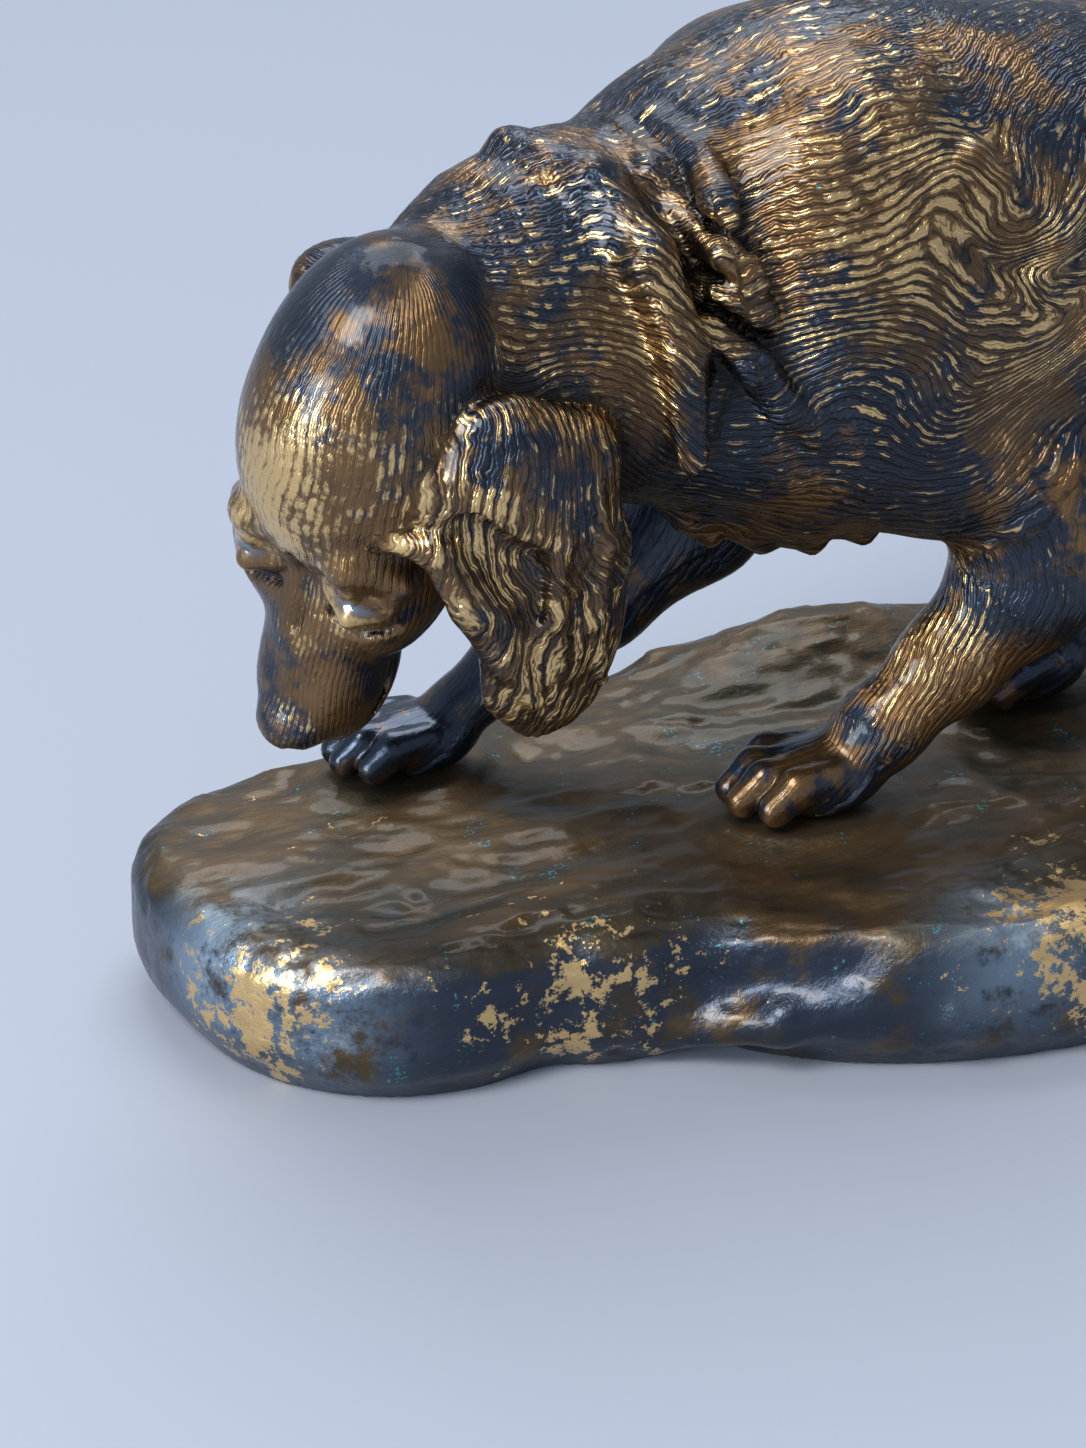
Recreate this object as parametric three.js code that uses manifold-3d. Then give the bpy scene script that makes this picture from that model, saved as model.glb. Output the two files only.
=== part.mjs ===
// A spaniel working a scent, cast in bronze in two pieces: the dog, and the uneven ground that it walks on.
// Lengths are millimetres and +Z is up. The dog faces -X, and its left side faces -Y.
// The origin is the middle of the flat underside of the ground piece.
import * as THREE from 'three';
import Module from 'manifold-3d';

// Driving sizes of the dog
const DOG_HEIGHT = 165;        // soles to the top of the withers
const WITHERS_SHARE = 91.7;    // the same height in the figure's own shares
const UNIT = DOG_HEIGHT / WITHERS_SHARE;
const JOINT_GAP = 0.3;         // between the dog's soles and the ground casting
const FUR_LOCK = 1.9;          // radius of a raised lock, in shares

// Driving sizes of the ground
const SEAT_HEIGHT = 34;        // underside to the pads under the paws
const GROUND_TOP = 33.4;       // underside to the open ground
const GROUND_LENGTH = 343;
const EDGE_ROUND = 11;         // how softly the top rolls over into the wall
const FOOT_INSET = 7;          // how far the wall tucks in at its foot
const FOOT_RISE = 13;          // height over which it tucks in
const MOUND_RISE = 11;         // swell of the ground beside the dog
const WAVE_RISE = 0.9;         // ripple of the open ground
const LEDGE_RADIUS = 4.2;      // ledge that runs up the near wall
const PAD_MARGIN = 1.12;       // pad outline over the paw outline

// Fineness of the facets
const DOG_STEP = 1.45;         // sampling of the dog, in shares
const DOG_FACETS = 7350;
const GROUND_STEP = 4.2;       // sampling of the ground, in millimetres
const GROUND_FACETS = 2050;

// Small vector help.
const dot = (a, b) => a[0] * b[0] + a[1] * b[1] + a[2] * b[2];
const sub = (a, b) => [a[0] - b[0], a[1] - b[1], a[2] - b[2]];
const cross = (a, b) => [a[1] * b[2] - a[2] * b[1], a[2] * b[0] - a[0] * b[2], a[0] * b[1] - a[1] * b[0]];
const scaled = (a, k) => [a[0] * k, a[1] * k, a[2] * k];
const unit = (a) => scaled(a, 1 / Math.hypot(a[0], a[1], a[2]));
const clamp01 = (t) => Math.min(1, Math.max(0, t));

// Soft union and soft cut of two signed distances, rounded over the width k.
function softUnion(a, b, k) {
  const h = clamp01(0.5 + (0.5 * (b - a)) / k);
  return b + (a - b) * h - k * h * (1 - h);
}

function softCut(a, b, k) {
  return -softUnion(-a, b, k);
}

// An ellipsoid with radii r about c, in the axes of `frame` where one is given.
function blob(c, r, frame) {
  return (p) => {
    const d = sub(p, c);
    const q = frame ? frame.map((axis) => dot(axis, d)) : d;
    const k0 = Math.hypot(q[0] / r[0], q[1] / r[1], q[2] / r[2]);
    const k1 = Math.hypot(q[0] / r[0] ** 2, q[1] / r[1] ** 2, q[2] / r[2] ** 2) + 1e-9;
    return (k0 * (k0 - 1)) / k1;
  };
}

// A chain of tapered elliptic stretches. Each station is x, y, z, the radius toward `side` and the other radius.
function limb(stations, side = [0, 1, 0], k = 2) {
  const stretches = [];
  for (let i = 0; i + 1 < stations.length; i += 1) {
    const a = stations[i];
    const b = stations[i + 1];
    const along = sub(b, a);
    const length = Math.hypot(along[0], along[1], along[2]);
    const ax = scaled(along, 1 / length);
    const s = unit(sub(side, scaled(ax, dot(side, ax))));
    stretches.push({ a, b, length, ax, s, u: cross(ax, s) });
  }
  return (p) => {
    let out = null;
    for (const { a, b, length, ax, s, u } of stretches) {
      const q = sub(p, a);
      const t0 = dot(q, ax) / length;
      const t = clamp01(t0);
      const rs = a[3] + (b[3] - a[3]) * t;
      const ru = a[4] + (b[4] - a[4]) * t;
      const over = ((t0 - t) * length * 2) / (rs + ru);
      const d = (Math.hypot(dot(q, s) / rs, dot(q, u) / ru, over) - 1) * Math.min(rs, ru);
      out = out === null ? d : softUnion(out, d, k);
    }
    return out;
  };
}

// A round lock of hair through the points given, fullest in its middle.
function lock(points, radius, k = 1.2) {
  const last = points.length - 1;
  const stations = points.map((p, i) => {
    const r = radius * (0.45 + 0.55 * Math.sin((Math.PI * (i + 0.35)) / (last + 0.7)));
    return [...p, r, r];
  });
  return limb(stations, [0.31, 0.55, 0.77], k);
}

// A part that is only worked out inside its own box; outside it counts as far away.
const FAR = 60;
const BOX_MARGIN = 6;
function within(low, high, field) {
  return (p) => {
    for (let i = 0; i < 3; i += 1) {
      if (p[i] < low[i] - BOX_MARGIN || p[i] > high[i] + BOX_MARGIN) return FAR;
    }
    return field(p);
  };
}

// The dog, in shares of its height, soles at z = 0.
// Head frame: sideways toward the dog's left, forward out of the face, and up the skull from the eyes.
const EYES = [-79.9, -7.5, 38.9];
const headSide = unit([0.5, -0.83, -0.25]);
const muzzleRough = [-0.05, 0.23, -0.97];
const headDown = unit(sub(muzzleRough, scaled(headSide, dot(muzzleRough, headSide))));
const headFront = cross(headDown, headSide);
const toHead = (p) => {
  const d = sub(p, EYES);
  return [dot(headSide, d), dot(headFront, d), -dot(headDown, d)];
};

const skull = blob([0, -6.8, 15], [12.6, 13.8, 17]);
const crown = blob([0, -10, 24], [10.5, 11, 12]);
const muzzle = limb([[0, -8.6, 2, 7.6, 7.6], [0, -7.8, -9, 6.1, 6.8], [0, -6.4, -19, 5.4, 6.2]], [1, 0, 0], 3);
const cheek = blob([7.2, -8, -1], [4.8, 8, 9]);
const flew = blob([3.6, -8, -16.5], [3.4, 6.6, 8]);
const jaw = limb([[0, -13, -4, 5, 3], [0, -12.6, -18, 3.6, 2.4]], [1, 0, 0], 2);
const nose = blob([0, -1.6, -22.4], [3.4, 3.2, 2.8]);
const brow = limb([[2.2, 0.2, 5.4, 1.8, 1.8], [6.4, 0.2, 5.6, 3.2, 2.4], [9.6, -3, 2.6, 1.8, 1.8]], [0, 1, 0], 2);
const socket = blob([7.4, 1.2, -0.2], [4.3, 2.8, 1.9]);
const eyeball = blob([6.8, -1.5, -0.3], [3.0, 2.9, 2.5]);
const upperLid = limb([[3.2, -0.4, 1, 1, 1], [6.6, 1.1, 2, 1.5, 1.3], [10.2, -1.6, 0.4, 1, 1]], [0, 1, 0], 1);
const lowerLid = limb([[3.4, -0.6, -1.6, 0.9, 0.9], [6.8, 0.5, -2.9, 1.2, 1.1], [10, -1.9, -1.8, 0.9, 0.9]], [0, 1, 0], 1);
const lipLine = limb([[1.2, -4.6, -24, 0.7, 0.9], [5.6, -8.6, -20, 0.7, 0.9], [8.4, -12.6, -9, 0.7, 0.9]], [1, 0, 0], 1);

function head(p) {
  const q = toHead(p);
  const both = [Math.abs(q[0]), q[1], q[2]];
  let d = softUnion(skull(q), crown(q), 5);
  d = softUnion(d, muzzle(q), 3);
  d = softUnion(d, cheek(both), 4);
  d = softUnion(d, flew(both), 2);
  d = softUnion(d, jaw(q), 2);
  d = softUnion(d, nose(q), 1.2);
  d = softUnion(d, brow(both), 1.6);
  d = softCut(d, socket(both), 0.8);
  d = softUnion(d, eyeball(both), 0.4);
  d = softUnion(d, upperLid(both), 0.5);
  d = softUnion(d, lowerLid(both), 0.5);
  return softCut(d, lipLine(both), 0.6);
}

// The near ear hangs from a fold beside the skull; its front edge rolls forward over a deep hollow.
const nearFlap = limb([
  [-68, -18.5, 49, 4, 6], [-62.5, -20.5, 53.5, 3.2, 6.6], [-58, -20.5, 49, 2.8, 8.6],
  [-57, -19.5, 38, 2.6, 8.8], [-56, -18, 28, 2.4, 7.6], [-55, -17, 23, 2.2, 5.8],
], [0.25, -0.95, 0.1], 3);
const nearRoll = lock([
  [-75, -17.6, 45.6], [-70.5, -20.4, 44.6], [-67, -21.8, 38], [-63.2, -21.6, 31], [-59.8, -21.4, 25.6],
], 2.6);
const nearHollow = limb([
  [-68, -24.2, 45, 2, 3], [-63, -25, 39.5, 2.2, 3], [-60, -24, 32, 1.4, 2.2],
], [0.25, -0.95, 0.1], 2);
const earLocks = [
  lock([[-62, -23.6, 52], [-57.4, -23, 44], [-58, -22.2, 35], [-56, -20.6, 27]], 1.3),
  lock([[-54.6, -22, 51], [-51.4, -21.4, 42], [-52.4, -20.4, 33], [-50.6, -19, 25]], 1.3),
  lock([[-59.6, -22, 34], [-58, -20.8, 28], [-56.4, -19.6, 22]], 1.1),
];
const farFlap = limb([
  [-70, 2, 60, 3, 5], [-67.5, 6, 64, 3, 6.5], [-64, 9.5, 58, 2.6, 8.5],
  [-62.5, 11, 47, 2.4, 8.5], [-62, 11.5, 37, 2.4, 7.5], [-62, 11, 30, 2.2, 5.5],
], [0.3, 0.9, 0.1], 3);

const nearEar = within([-80, -27, 12], [-42, -10, 66], (p) => {
  let d = softCut(nearFlap(p), nearHollow(p), 1.5);
  d = softUnion(d, nearRoll(p), 1.2);
  for (const one of earLocks) d = softUnion(d, one(p), 1);
  return d;
});
const farEar = within([-80, -4, 22], [-52, 22, 74], farFlap);

// A paw: a low body with four toes, heading along `yaw` about its middle.
const TOES = [[-4.2, 4.2], [-1.5, 6.6], [1.5, 6.6], [4.2, 4.2]];
const PAW_HALF = [8.2, 6.1];
function paw(x, y, yaw, size) {
  const ahead = [Math.cos(yaw), Math.sin(yaw), 0];
  const across = [-ahead[1], ahead[0], 0];
  const body = blob([0, 0, 3.2], [7, 5.4, 3.8]);
  const toes = TOES.map(([lat, out]) => limb([
    [out - 4.5, lat * 0.85, 4.6, 1.7, 1.9],
    [out - 0.5, lat, 4.3, 1.9, 2.1],
    [out + 1.8, lat * 1.03, 2.3, 1.6, 1.9],
  ], [0, 1, 0], 0.8));
  return (p) => {
    const d = [p[0] - x, p[1] - y, p[2]];
    const q = [dot(ahead, d) / size, dot(across, d) / size, d[2] / size];
    let out = body(q);
    for (const toe of toes) out = softUnion(out, toe(q), 0.5);
    return out * size;
  };
}

// Each leg: its stations from the body down, and its paw's place, heading and size.
const LEGS = {
  nearFore: {
    bones: [[8, -15, 34, 8, 9.6], [4, -15.5, 24.5, 7.2, 8.4], [-5, -14.5, 15.5, 4.9, 5.8],
      [-13, -13.5, 8.5, 4.4, 4.8], [-17, -13, 5.2, 4.4, 4]],
    paw: { x: -20.5, y: -12.4, yaw: Math.PI - 0.12, size: 1.12 },
    box: [[-32, -26, -2], [18, -4, 44]],
  },
  farFore: {
    bones: [[-14, 12, 36, 8, 9], [-24, 12, 27, 7, 8], [-36, 13, 18, 5.2, 6],
      [-46, 14.3, 11, 3.9, 4.3], [-53, 15.3, 6, 4, 3.8]],
    paw: { x: -57.8, y: 15.8, yaw: Math.PI - 0.1, size: 1.05 },
    box: [[-72, 0, -2], [0, 24, 46]],
  },
  nearHind: {
    bones: [[50, -11, 58, 9, 13], [43, -14, 43, 7.5, 12], [50, -15, 28, 5.2, 7.4],
      [60.5, -15, 17.5, 3.4, 4.4], [58, -14.5, 9, 3.3, 3.5], [55.5, -14, 4.5, 3.5, 3.4]],
    paw: { x: 51.5, y: -13.6, yaw: Math.PI - 0.05, size: 1.05 },
    box: [[38, -26, -2], [70, 2, 74]],
  },
  farHind: {
    bones: [[48, 9, 56, 9, 13], [37, 12, 41, 7.5, 11], [34, 11, 26, 5.5, 7],
      [37, 7, 13.5, 3.6, 4.6], [27, 4.5, 7.5, 3.5, 3.6], [21, 3.5, 4.5, 3.6, 3.4]],
    paw: { x: 16.5, y: 2.6, yaw: Math.PI, size: 1.05 },
    box: [[4, -6, -2], [62, 24, 72]],
  },
};
const legFields = Object.values(LEGS).map((leg) => {
  const bones = limb(leg.bones, [0, 1, 0], 3);
  const foot = paw(leg.paw.x, leg.paw.y, leg.paw.yaw, leg.paw.size);
  return within(leg.box[0], leg.box[1], (p) => softUnion(bones(p), foot(p), 1.6));
});
const legs = (p) => Math.min(...legFields.map((leg) => leg(p)));

// The trunk: barrel, shoulder blades, upper arms, haunches and the brisket between the forelegs.
const barrel = limb([
  [-31, 0, 61, 18, 22.5], [-19, 0, 60.5, 21.5, 28], [-4, 0, 60, 22, 27],
  [14, 0, 60, 20, 24], [32, 0, 61.5, 17, 20.5], [48, 0, 62, 17, 19],
], [0, 1, 0], 6);
const bladeFrame = [unit([1, 0, 0.25]), [0, 1, 0], unit([-0.25, 0, 1])];
const blade = blob([-17, 12.5, 62], [14.5, 11, 23], bladeFrame);
const upperArm = limb([[-30, 12, 50, 8, 10], [-8, 13.5, 41, 7.6, 8.6], [6, 14.5, 36, 7.4, 8.6]], [0, 1, 0], 3);
const haunch = blob([48, 10, 58], [15, 9.5, 19]);
const brisket = limb([[-36, -3, 46, 9, 9], [-22, -3, 37, 8, 6], [-8, -4, 35.5, 7, 5]], [0, 1, 0], 3);
const trunk = within([-50, -28, 20], [70, 28, 96], (p) => {
  const both = [p[0], Math.abs(p[1]), p[2]];
  let d = softUnion(barrel(p), blade(both), 5);
  d = softUnion(d, upperArm(both), 4);
  d = softUnion(d, haunch(both), 6);
  return softUnion(d, brisket(p), 4);
});

// The neck, and the thick ruff of hair that rings its root and hangs down the chest.
const neckCore = limb([
  [-66, -6, 56, 9.5, 12.5], [-60, -4.5, 57.5, 11.5, 15.5], [-54, -3, 59, 13.5, 18.4],
  [-47, -2, 59.5, 16, 20], [-41, -2, 59, 17.5, 20.5],
], [0, 1, 0], 3);
const ruff = lock([[-53, 0, 79.2], [-48, -9.4, 77.6], [-45, -17.6, 71], [-42.6, -21, 62], [-41, -20.4, 49]], 3.2);
const neck = within([-86, -28, 36], [-18, 22, 90], (p) => softUnion(neckCore(p), ruff(p), 1.6));

const tail = within([50, -12, 50], [98, 14, 84], limb([
  [58, 0, 72, 6, 6], [68, 1, 70, 4.5, 5], [80, 3, 64, 3, 5.5], [90, 6, 60, 1.8, 4],
], [0, 1, 0], 2));

// Swirling locks that break from the ruff over the near shoulder, and two curls further back.
const swirls = [
  lock([[-41, -3, 79.8], [-40.9, -9.6, 77.2], [-39, -13.8, 73.6], [-38.7, -18.2, 72]], 2.1),
  lock([[-38.5, -4, 80.8], [-36, -10.2, 78.6], [-37, -17.2, 76.2], [-36.7, -19.2, 74.4]], 2.2),
  lock([[-39.4, -15.2, 71.4], [-37.7, -19.6, 71.4], [-35.2, -20.8, 69], [-34.3, -21.6, 67.8]], FUR_LOCK),
  lock([[-38.4, -19.6, 67.1], [-35.9, -20.4, 66.4], [-33.9, -20.8, 64.7], [-32.1, -20.2, 62.9]], FUR_LOCK),
  lock([[-39.4, -20.7, 63.8], [-34.8, -21.6, 59.1], [-30, -20.4, 53], [-25.8, -20.4, 49]], 2.3),
  lock([[-11.3, -20.2, 75.6], [-8.3, -19.2, 76.9], [-5.6, -20, 74.2], [-8, -21, 71.4]], FUR_LOCK),
  lock([[5, -20.1, 70.8], [1.3, -21.4, 67.4], [-2, -22.4, 62.7], [1.3, -21.9, 60.2]], FUR_LOCK),
];
const shoulderLocks = within([-46, -28, 44], [8, 2, 86], (p) => Math.min(...swirls.map((one) => one(p))));

// Feathering: pointed locks that hang below the brisket.
const FEATHERS = 6;
const feathers = [];
for (let i = 0; i < FEATHERS; i += 1) {
  const x = -34 + i * 6.2;
  const y = -5.5 - 0.4 * i;
  const z = 36 - 5.2 * Math.sin((Math.PI * (i + 1)) / (FEATHERS + 1));
  feathers.push(lock([[x - 3, y, z + 7], [x, y - 0.5, z + 2], [x + 3, y, z - 1.5]], 1.9));
}
const feathering = within([-42, -16, 20], [4, 4, 46], (p) => Math.min(...feathers.map((one) => one(p))));

const headBoxed = within([-100, -34, 8], [-48, 18, 82], head);
function dog(p) {
  let d = softUnion(trunk(p), neck(p), 2);
  d = softUnion(d, shoulderLocks(p), 1.2);
  d = softUnion(d, feathering(p), 1.4);
  d = softUnion(d, legs(p), 5);
  d = softUnion(d, headBoxed(p), 2.4);
  d = softUnion(d, nearEar(p), 1.2);
  d = softUnion(d, farEar(p), 1.2);
  return softUnion(d, tail(p), 3);
}

// The ground, in millimetres from the middle of its underside.
const END = GROUND_LENGTH / 2;
function oval(x, y, cx, cy, rx, ry) {
  const k0 = Math.hypot((x - cx) / rx, (y - cy) / ry);
  const k1 = Math.hypot((x - cx) / rx ** 2, (y - cy) / ry ** 2) + 1e-9;
  return (k0 * (k0 - 1)) / k1;
}

// The plan: a rounded tongue under the head, the long body, and a lobe that stands out on the near side.
function plan(x, y) {
  let d = oval(x, y, 36 - END, 12, 36, 36);
  d = softUnion(d, oval(x, y, 50 - END, -1, 49, 49), 4);
  d = softUnion(d, oval(x, y, 84 - END, -8, 40, 46), 6);
  d = softUnion(d, oval(x, y, -30, 6, 110, 54), 12);
  d = softUnion(d, oval(x, y, 4, -24, 91, 63), 8);
  return softUnion(d, oval(x, y, END - 108, -2, 108, 58), 14);
}

const hump = (x, y, cx, cy, rx, ry) => Math.exp(-(((x - cx) / rx) ** 2) - ((y - cy) / ry) ** 2);
function terrain(x, y) {
  const ripple = Math.sin(x * 0.061 + y * 0.043) * Math.sin(y * 0.102 - x * 0.021 + 0.8);
  let z = GROUND_TOP + WAVE_RISE * ripple;
  z += MOUND_RISE * hump(x, y, -2, 44, 30, 15);
  z += 3.4 * hump(x, y, 50, -46, 30, 12);
  z += 2.2 * hump(x, y, 118, 18, 34, 24);
  z -= 1.8 * hump(x, y, -149, 17, 8, 5);
  z -= 1.6 * hump(x, y, -150, -10, 9, 4);
  z -= 1.2 * hump(x, y, -128, -26, 14, 6);
  return z;
}

const ledge = limb([
  [-86, -50, 7, 3, 4], [-66, -64, 12, LEDGE_RADIUS, 5], [-50, -71, 16, LEDGE_RADIUS, 5],
  [-38, -71, 24, LEDGE_RADIUS, 4.4], [-24, -64, 30, 3.6, 3.8], [8, -54, 32, 3, 3],
], [0, 1, 0], 4);
const secondLedge = limb([
  [-34, -79, 13, 3.4, 4], [-18, -80, 22, 4, 4.4], [6, -78, 28, 3.8, 4],
  [40, -70, 29.5, 3.6, 3.6], [72, -58, 30, 3, 3],
], [0, 1, 0], 4);
const wallHollow = limb([[-78, -66, 20, 6, 8], [-58, -76, 29, 6.5, 8]], [0, 1, 0], 4);
const farLedge = limb([
  [88, 52, 8, 3.4, 4], [52, 61, 18, 4, 5], [10, 62, 27, 4, 4], [-36, 55, 31, 3.2, 3.4],
], [0, 1, 0], 4);
const endLedge = limb([
  [158, 22, 6, 3.4, 4], [160, -6, 16, 4, 4.6], [138, -32, 27, 3.8, 4], [104, -46, 31, 3, 3],
], [0, 0, 1], 4);

function ground(p) {
  const tuck = FOOT_INSET * clamp01(1 - p[2] / FOOT_RISE) ** 2;
  let d = softCut(plan(p[0], p[1]) + tuck, terrain(p[0], p[1]) - p[2], EDGE_ROUND);
  d = softCut(d, wallHollow(p), 7);
  d = softUnion(d, Math.min(ledge(p), secondLedge(p)), 4);
  return softUnion(d, Math.min(farLedge(p), endLedge(p)), 5);
}

// From a distance to facets.
// Every cell is split in six about its long diagonal, which always gives a closed surface.
const SPLITS = [[0, 1, 3, 7], [0, 1, 5, 7], [0, 2, 3, 7], [0, 2, 6, 7], [0, 4, 5, 7], [0, 4, 6, 7]];
function facet(field, low, high, step) {
  const n = [0, 1, 2].map((i) => Math.ceil((high[i] - low[i]) / step) + 1);
  const at = (i, j, k) => [low[0] + i * step, low[1] + j * step, low[2] + k * step];
  const strideY = n[0];
  const strideZ = n[0] * n[1];
  const values = new Float64Array(n[0] * n[1] * n[2]);
  for (let k = 0; k < n[2]; k += 1) {
    for (let j = 0; j < n[1]; j += 1) {
      for (let i = 0; i < n[0]; i += 1) {
        const edge = i === 0 || j === 0 || k === 0 || i === n[0] - 1 || j === n[1] - 1 || k === n[2] - 1;
        values[i + j * strideY + k * strideZ] = edge ? step : field(at(i, j, k));
      }
    }
  }
  const place = (index) => {
    const k = Math.floor(index / strideZ);
    const j = Math.floor((index - k * strideZ) / strideY);
    return at(index - k * strideZ - j * strideY, j, k);
  };
  const points = [];
  const faces = [];
  const known = new Map();
  const crossing = (a, b) => {
    const name = `${Math.min(a, b)}_${Math.max(a, b)}`;
    if (known.has(name)) return known.get(name);
    const t = Math.min(0.9, Math.max(0.1, values[a] / (values[a] - values[b])));
    const pa = place(a);
    const pb = place(b);
    points.push([0, 1, 2].map((i) => pa[i] + (pb[i] - pa[i]) * t));
    known.set(name, points.length - 1);
    return points.length - 1;
  };
  const addFace = (a, b, c, inside) => {
    const normal = cross(sub(points[b], points[a]), sub(points[c], points[a]));
    const out = dot(normal, sub(points[a], place(inside))) > 0;
    faces.push(out ? [a, b, c] : [a, c, b]);
  };
  for (let k = 0; k + 1 < n[2]; k += 1) {
    for (let j = 0; j + 1 < n[1]; j += 1) {
      for (let i = 0; i + 1 < n[0]; i += 1) {
        const base = i + j * strideY + k * strideZ;
        const corner = (c) => base + (c & 1) + ((c >> 1) & 1) * strideY + ((c >> 2) & 1) * strideZ;
        let count = 0;
        for (let c = 0; c < 8; c += 1) count += values[corner(c)] < 0 ? 1 : 0;
        if (count === 0 || count === 8) continue;
        for (const split of SPLITS) {
          const four = split.map(corner);
          const ins = four.filter((v) => values[v] < 0);
          const outs = four.filter((v) => values[v] >= 0);
          if (ins.length === 1) {
            addFace(crossing(ins[0], outs[0]), crossing(ins[0], outs[1]), crossing(ins[0], outs[2]), ins[0]);
          } else if (ins.length === 3) {
            const [a, b, c] = ins.map((v) => crossing(v, outs[0]));
            const normal = cross(sub(points[b], points[a]), sub(points[c], points[a]));
            const out = dot(normal, sub(place(outs[0]), points[a])) > 0;
            faces.push(out ? [a, b, c] : [a, c, b]);
          } else if (ins.length === 2) {
            const a = crossing(ins[0], outs[0]);
            const b = crossing(ins[0], outs[1]);
            const c = crossing(ins[1], outs[1]);
            const e = crossing(ins[1], outs[0]);
            addFace(a, b, c, ins[0]);
            addFace(a, c, e, ins[0]);
          }
        }
      }
    }
  }
  return { points, faces };
}

// Only the outer skin is kept: folds of hair that close over a pocket leave no hidden shell inside.
function outerSkin(mesh) {
  const parent = mesh.points.map((p, i) => i);
  const root = (i) => {
    let r = i;
    while (parent[r] !== r) {
      parent[r] = parent[parent[r]];
      r = parent[r];
    }
    return r;
  };
  for (const [a, b, c] of mesh.faces) {
    parent[root(a)] = root(b);
    parent[root(b)] = root(c);
  }
  const sizes = new Map();
  for (const [a] of mesh.faces) sizes.set(root(a), (sizes.get(root(a)) ?? 0) + 1);
  const largest = [...sizes.entries()].reduce((x, y) => (y[1] > x[1] ? y : x))[0];
  return { points: mesh.points, faces: mesh.faces.filter(([a]) => root(a) === largest) };
}

// Sums of squared distances to planes, as the ten numbers of a symmetric 4 x 4.
function planeQuadric(normal, offset, weight) {
  const v = [...normal, offset];
  const q = [];
  for (let i = 0; i < 4; i += 1) {
    for (let j = i; j < 4; j += 1) q.push(v[i] * v[j] * weight);
  }
  return q;
}

function quadricCost(q, p) {
  const [x, y, z] = p;
  return q[0] * x * x + 2 * q[1] * x * y + 2 * q[2] * x * z + 2 * q[3] * x + q[4] * y * y
    + 2 * q[5] * y * z + 2 * q[6] * y + q[7] * z * z + 2 * q[8] * z + q[9];
}

function quadricPoint(q) {
  const m = [[q[0], q[1], q[2]], [q[1], q[4], q[5]], [q[2], q[5], q[7]]];
  const r = [-q[3], -q[6], -q[8]];
  const det = dot(m[0], cross(m[1], m[2]));
  const size = q[0] + q[4] + q[7];
  if (Math.abs(det) < 1e-4 * size ** 3) return null;
  const columns = [0, 1, 2].map((i) => [m[0][i], m[1][i], m[2][i]]);
  return [
    dot(r, cross(columns[1], columns[2])) / det,
    dot(columns[0], cross(r, columns[2])) / det,
    dot(columns[0], cross(columns[1], r)) / det,
  ];
}

// Shortest-first queue of edges.
class Queue {
  constructor() {
    this.items = [];
  }

  push(item) {
    const list = this.items;
    list.push(item);
    let i = list.length - 1;
    while (i > 0) {
      const up = (i - 1) >> 1;
      if (list[up].cost <= list[i].cost) break;
      [list[up], list[i]] = [list[i], list[up]];
      i = up;
    }
  }

  pop() {
    const list = this.items;
    const top = list[0];
    const end = list.pop();
    if (list.length) {
      list[0] = end;
      let i = 0;
      for (;;) {
        const left = 2 * i + 1;
        if (left >= list.length) break;
        const small = left + 1 < list.length && list[left + 1].cost < list[left].cost ? left + 1 : left;
        if (list[i].cost <= list[small].cost) break;
        [list[small], list[i]] = [list[i], list[small]];
        i = small;
      }
    }
    return top;
  }
}

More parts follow.
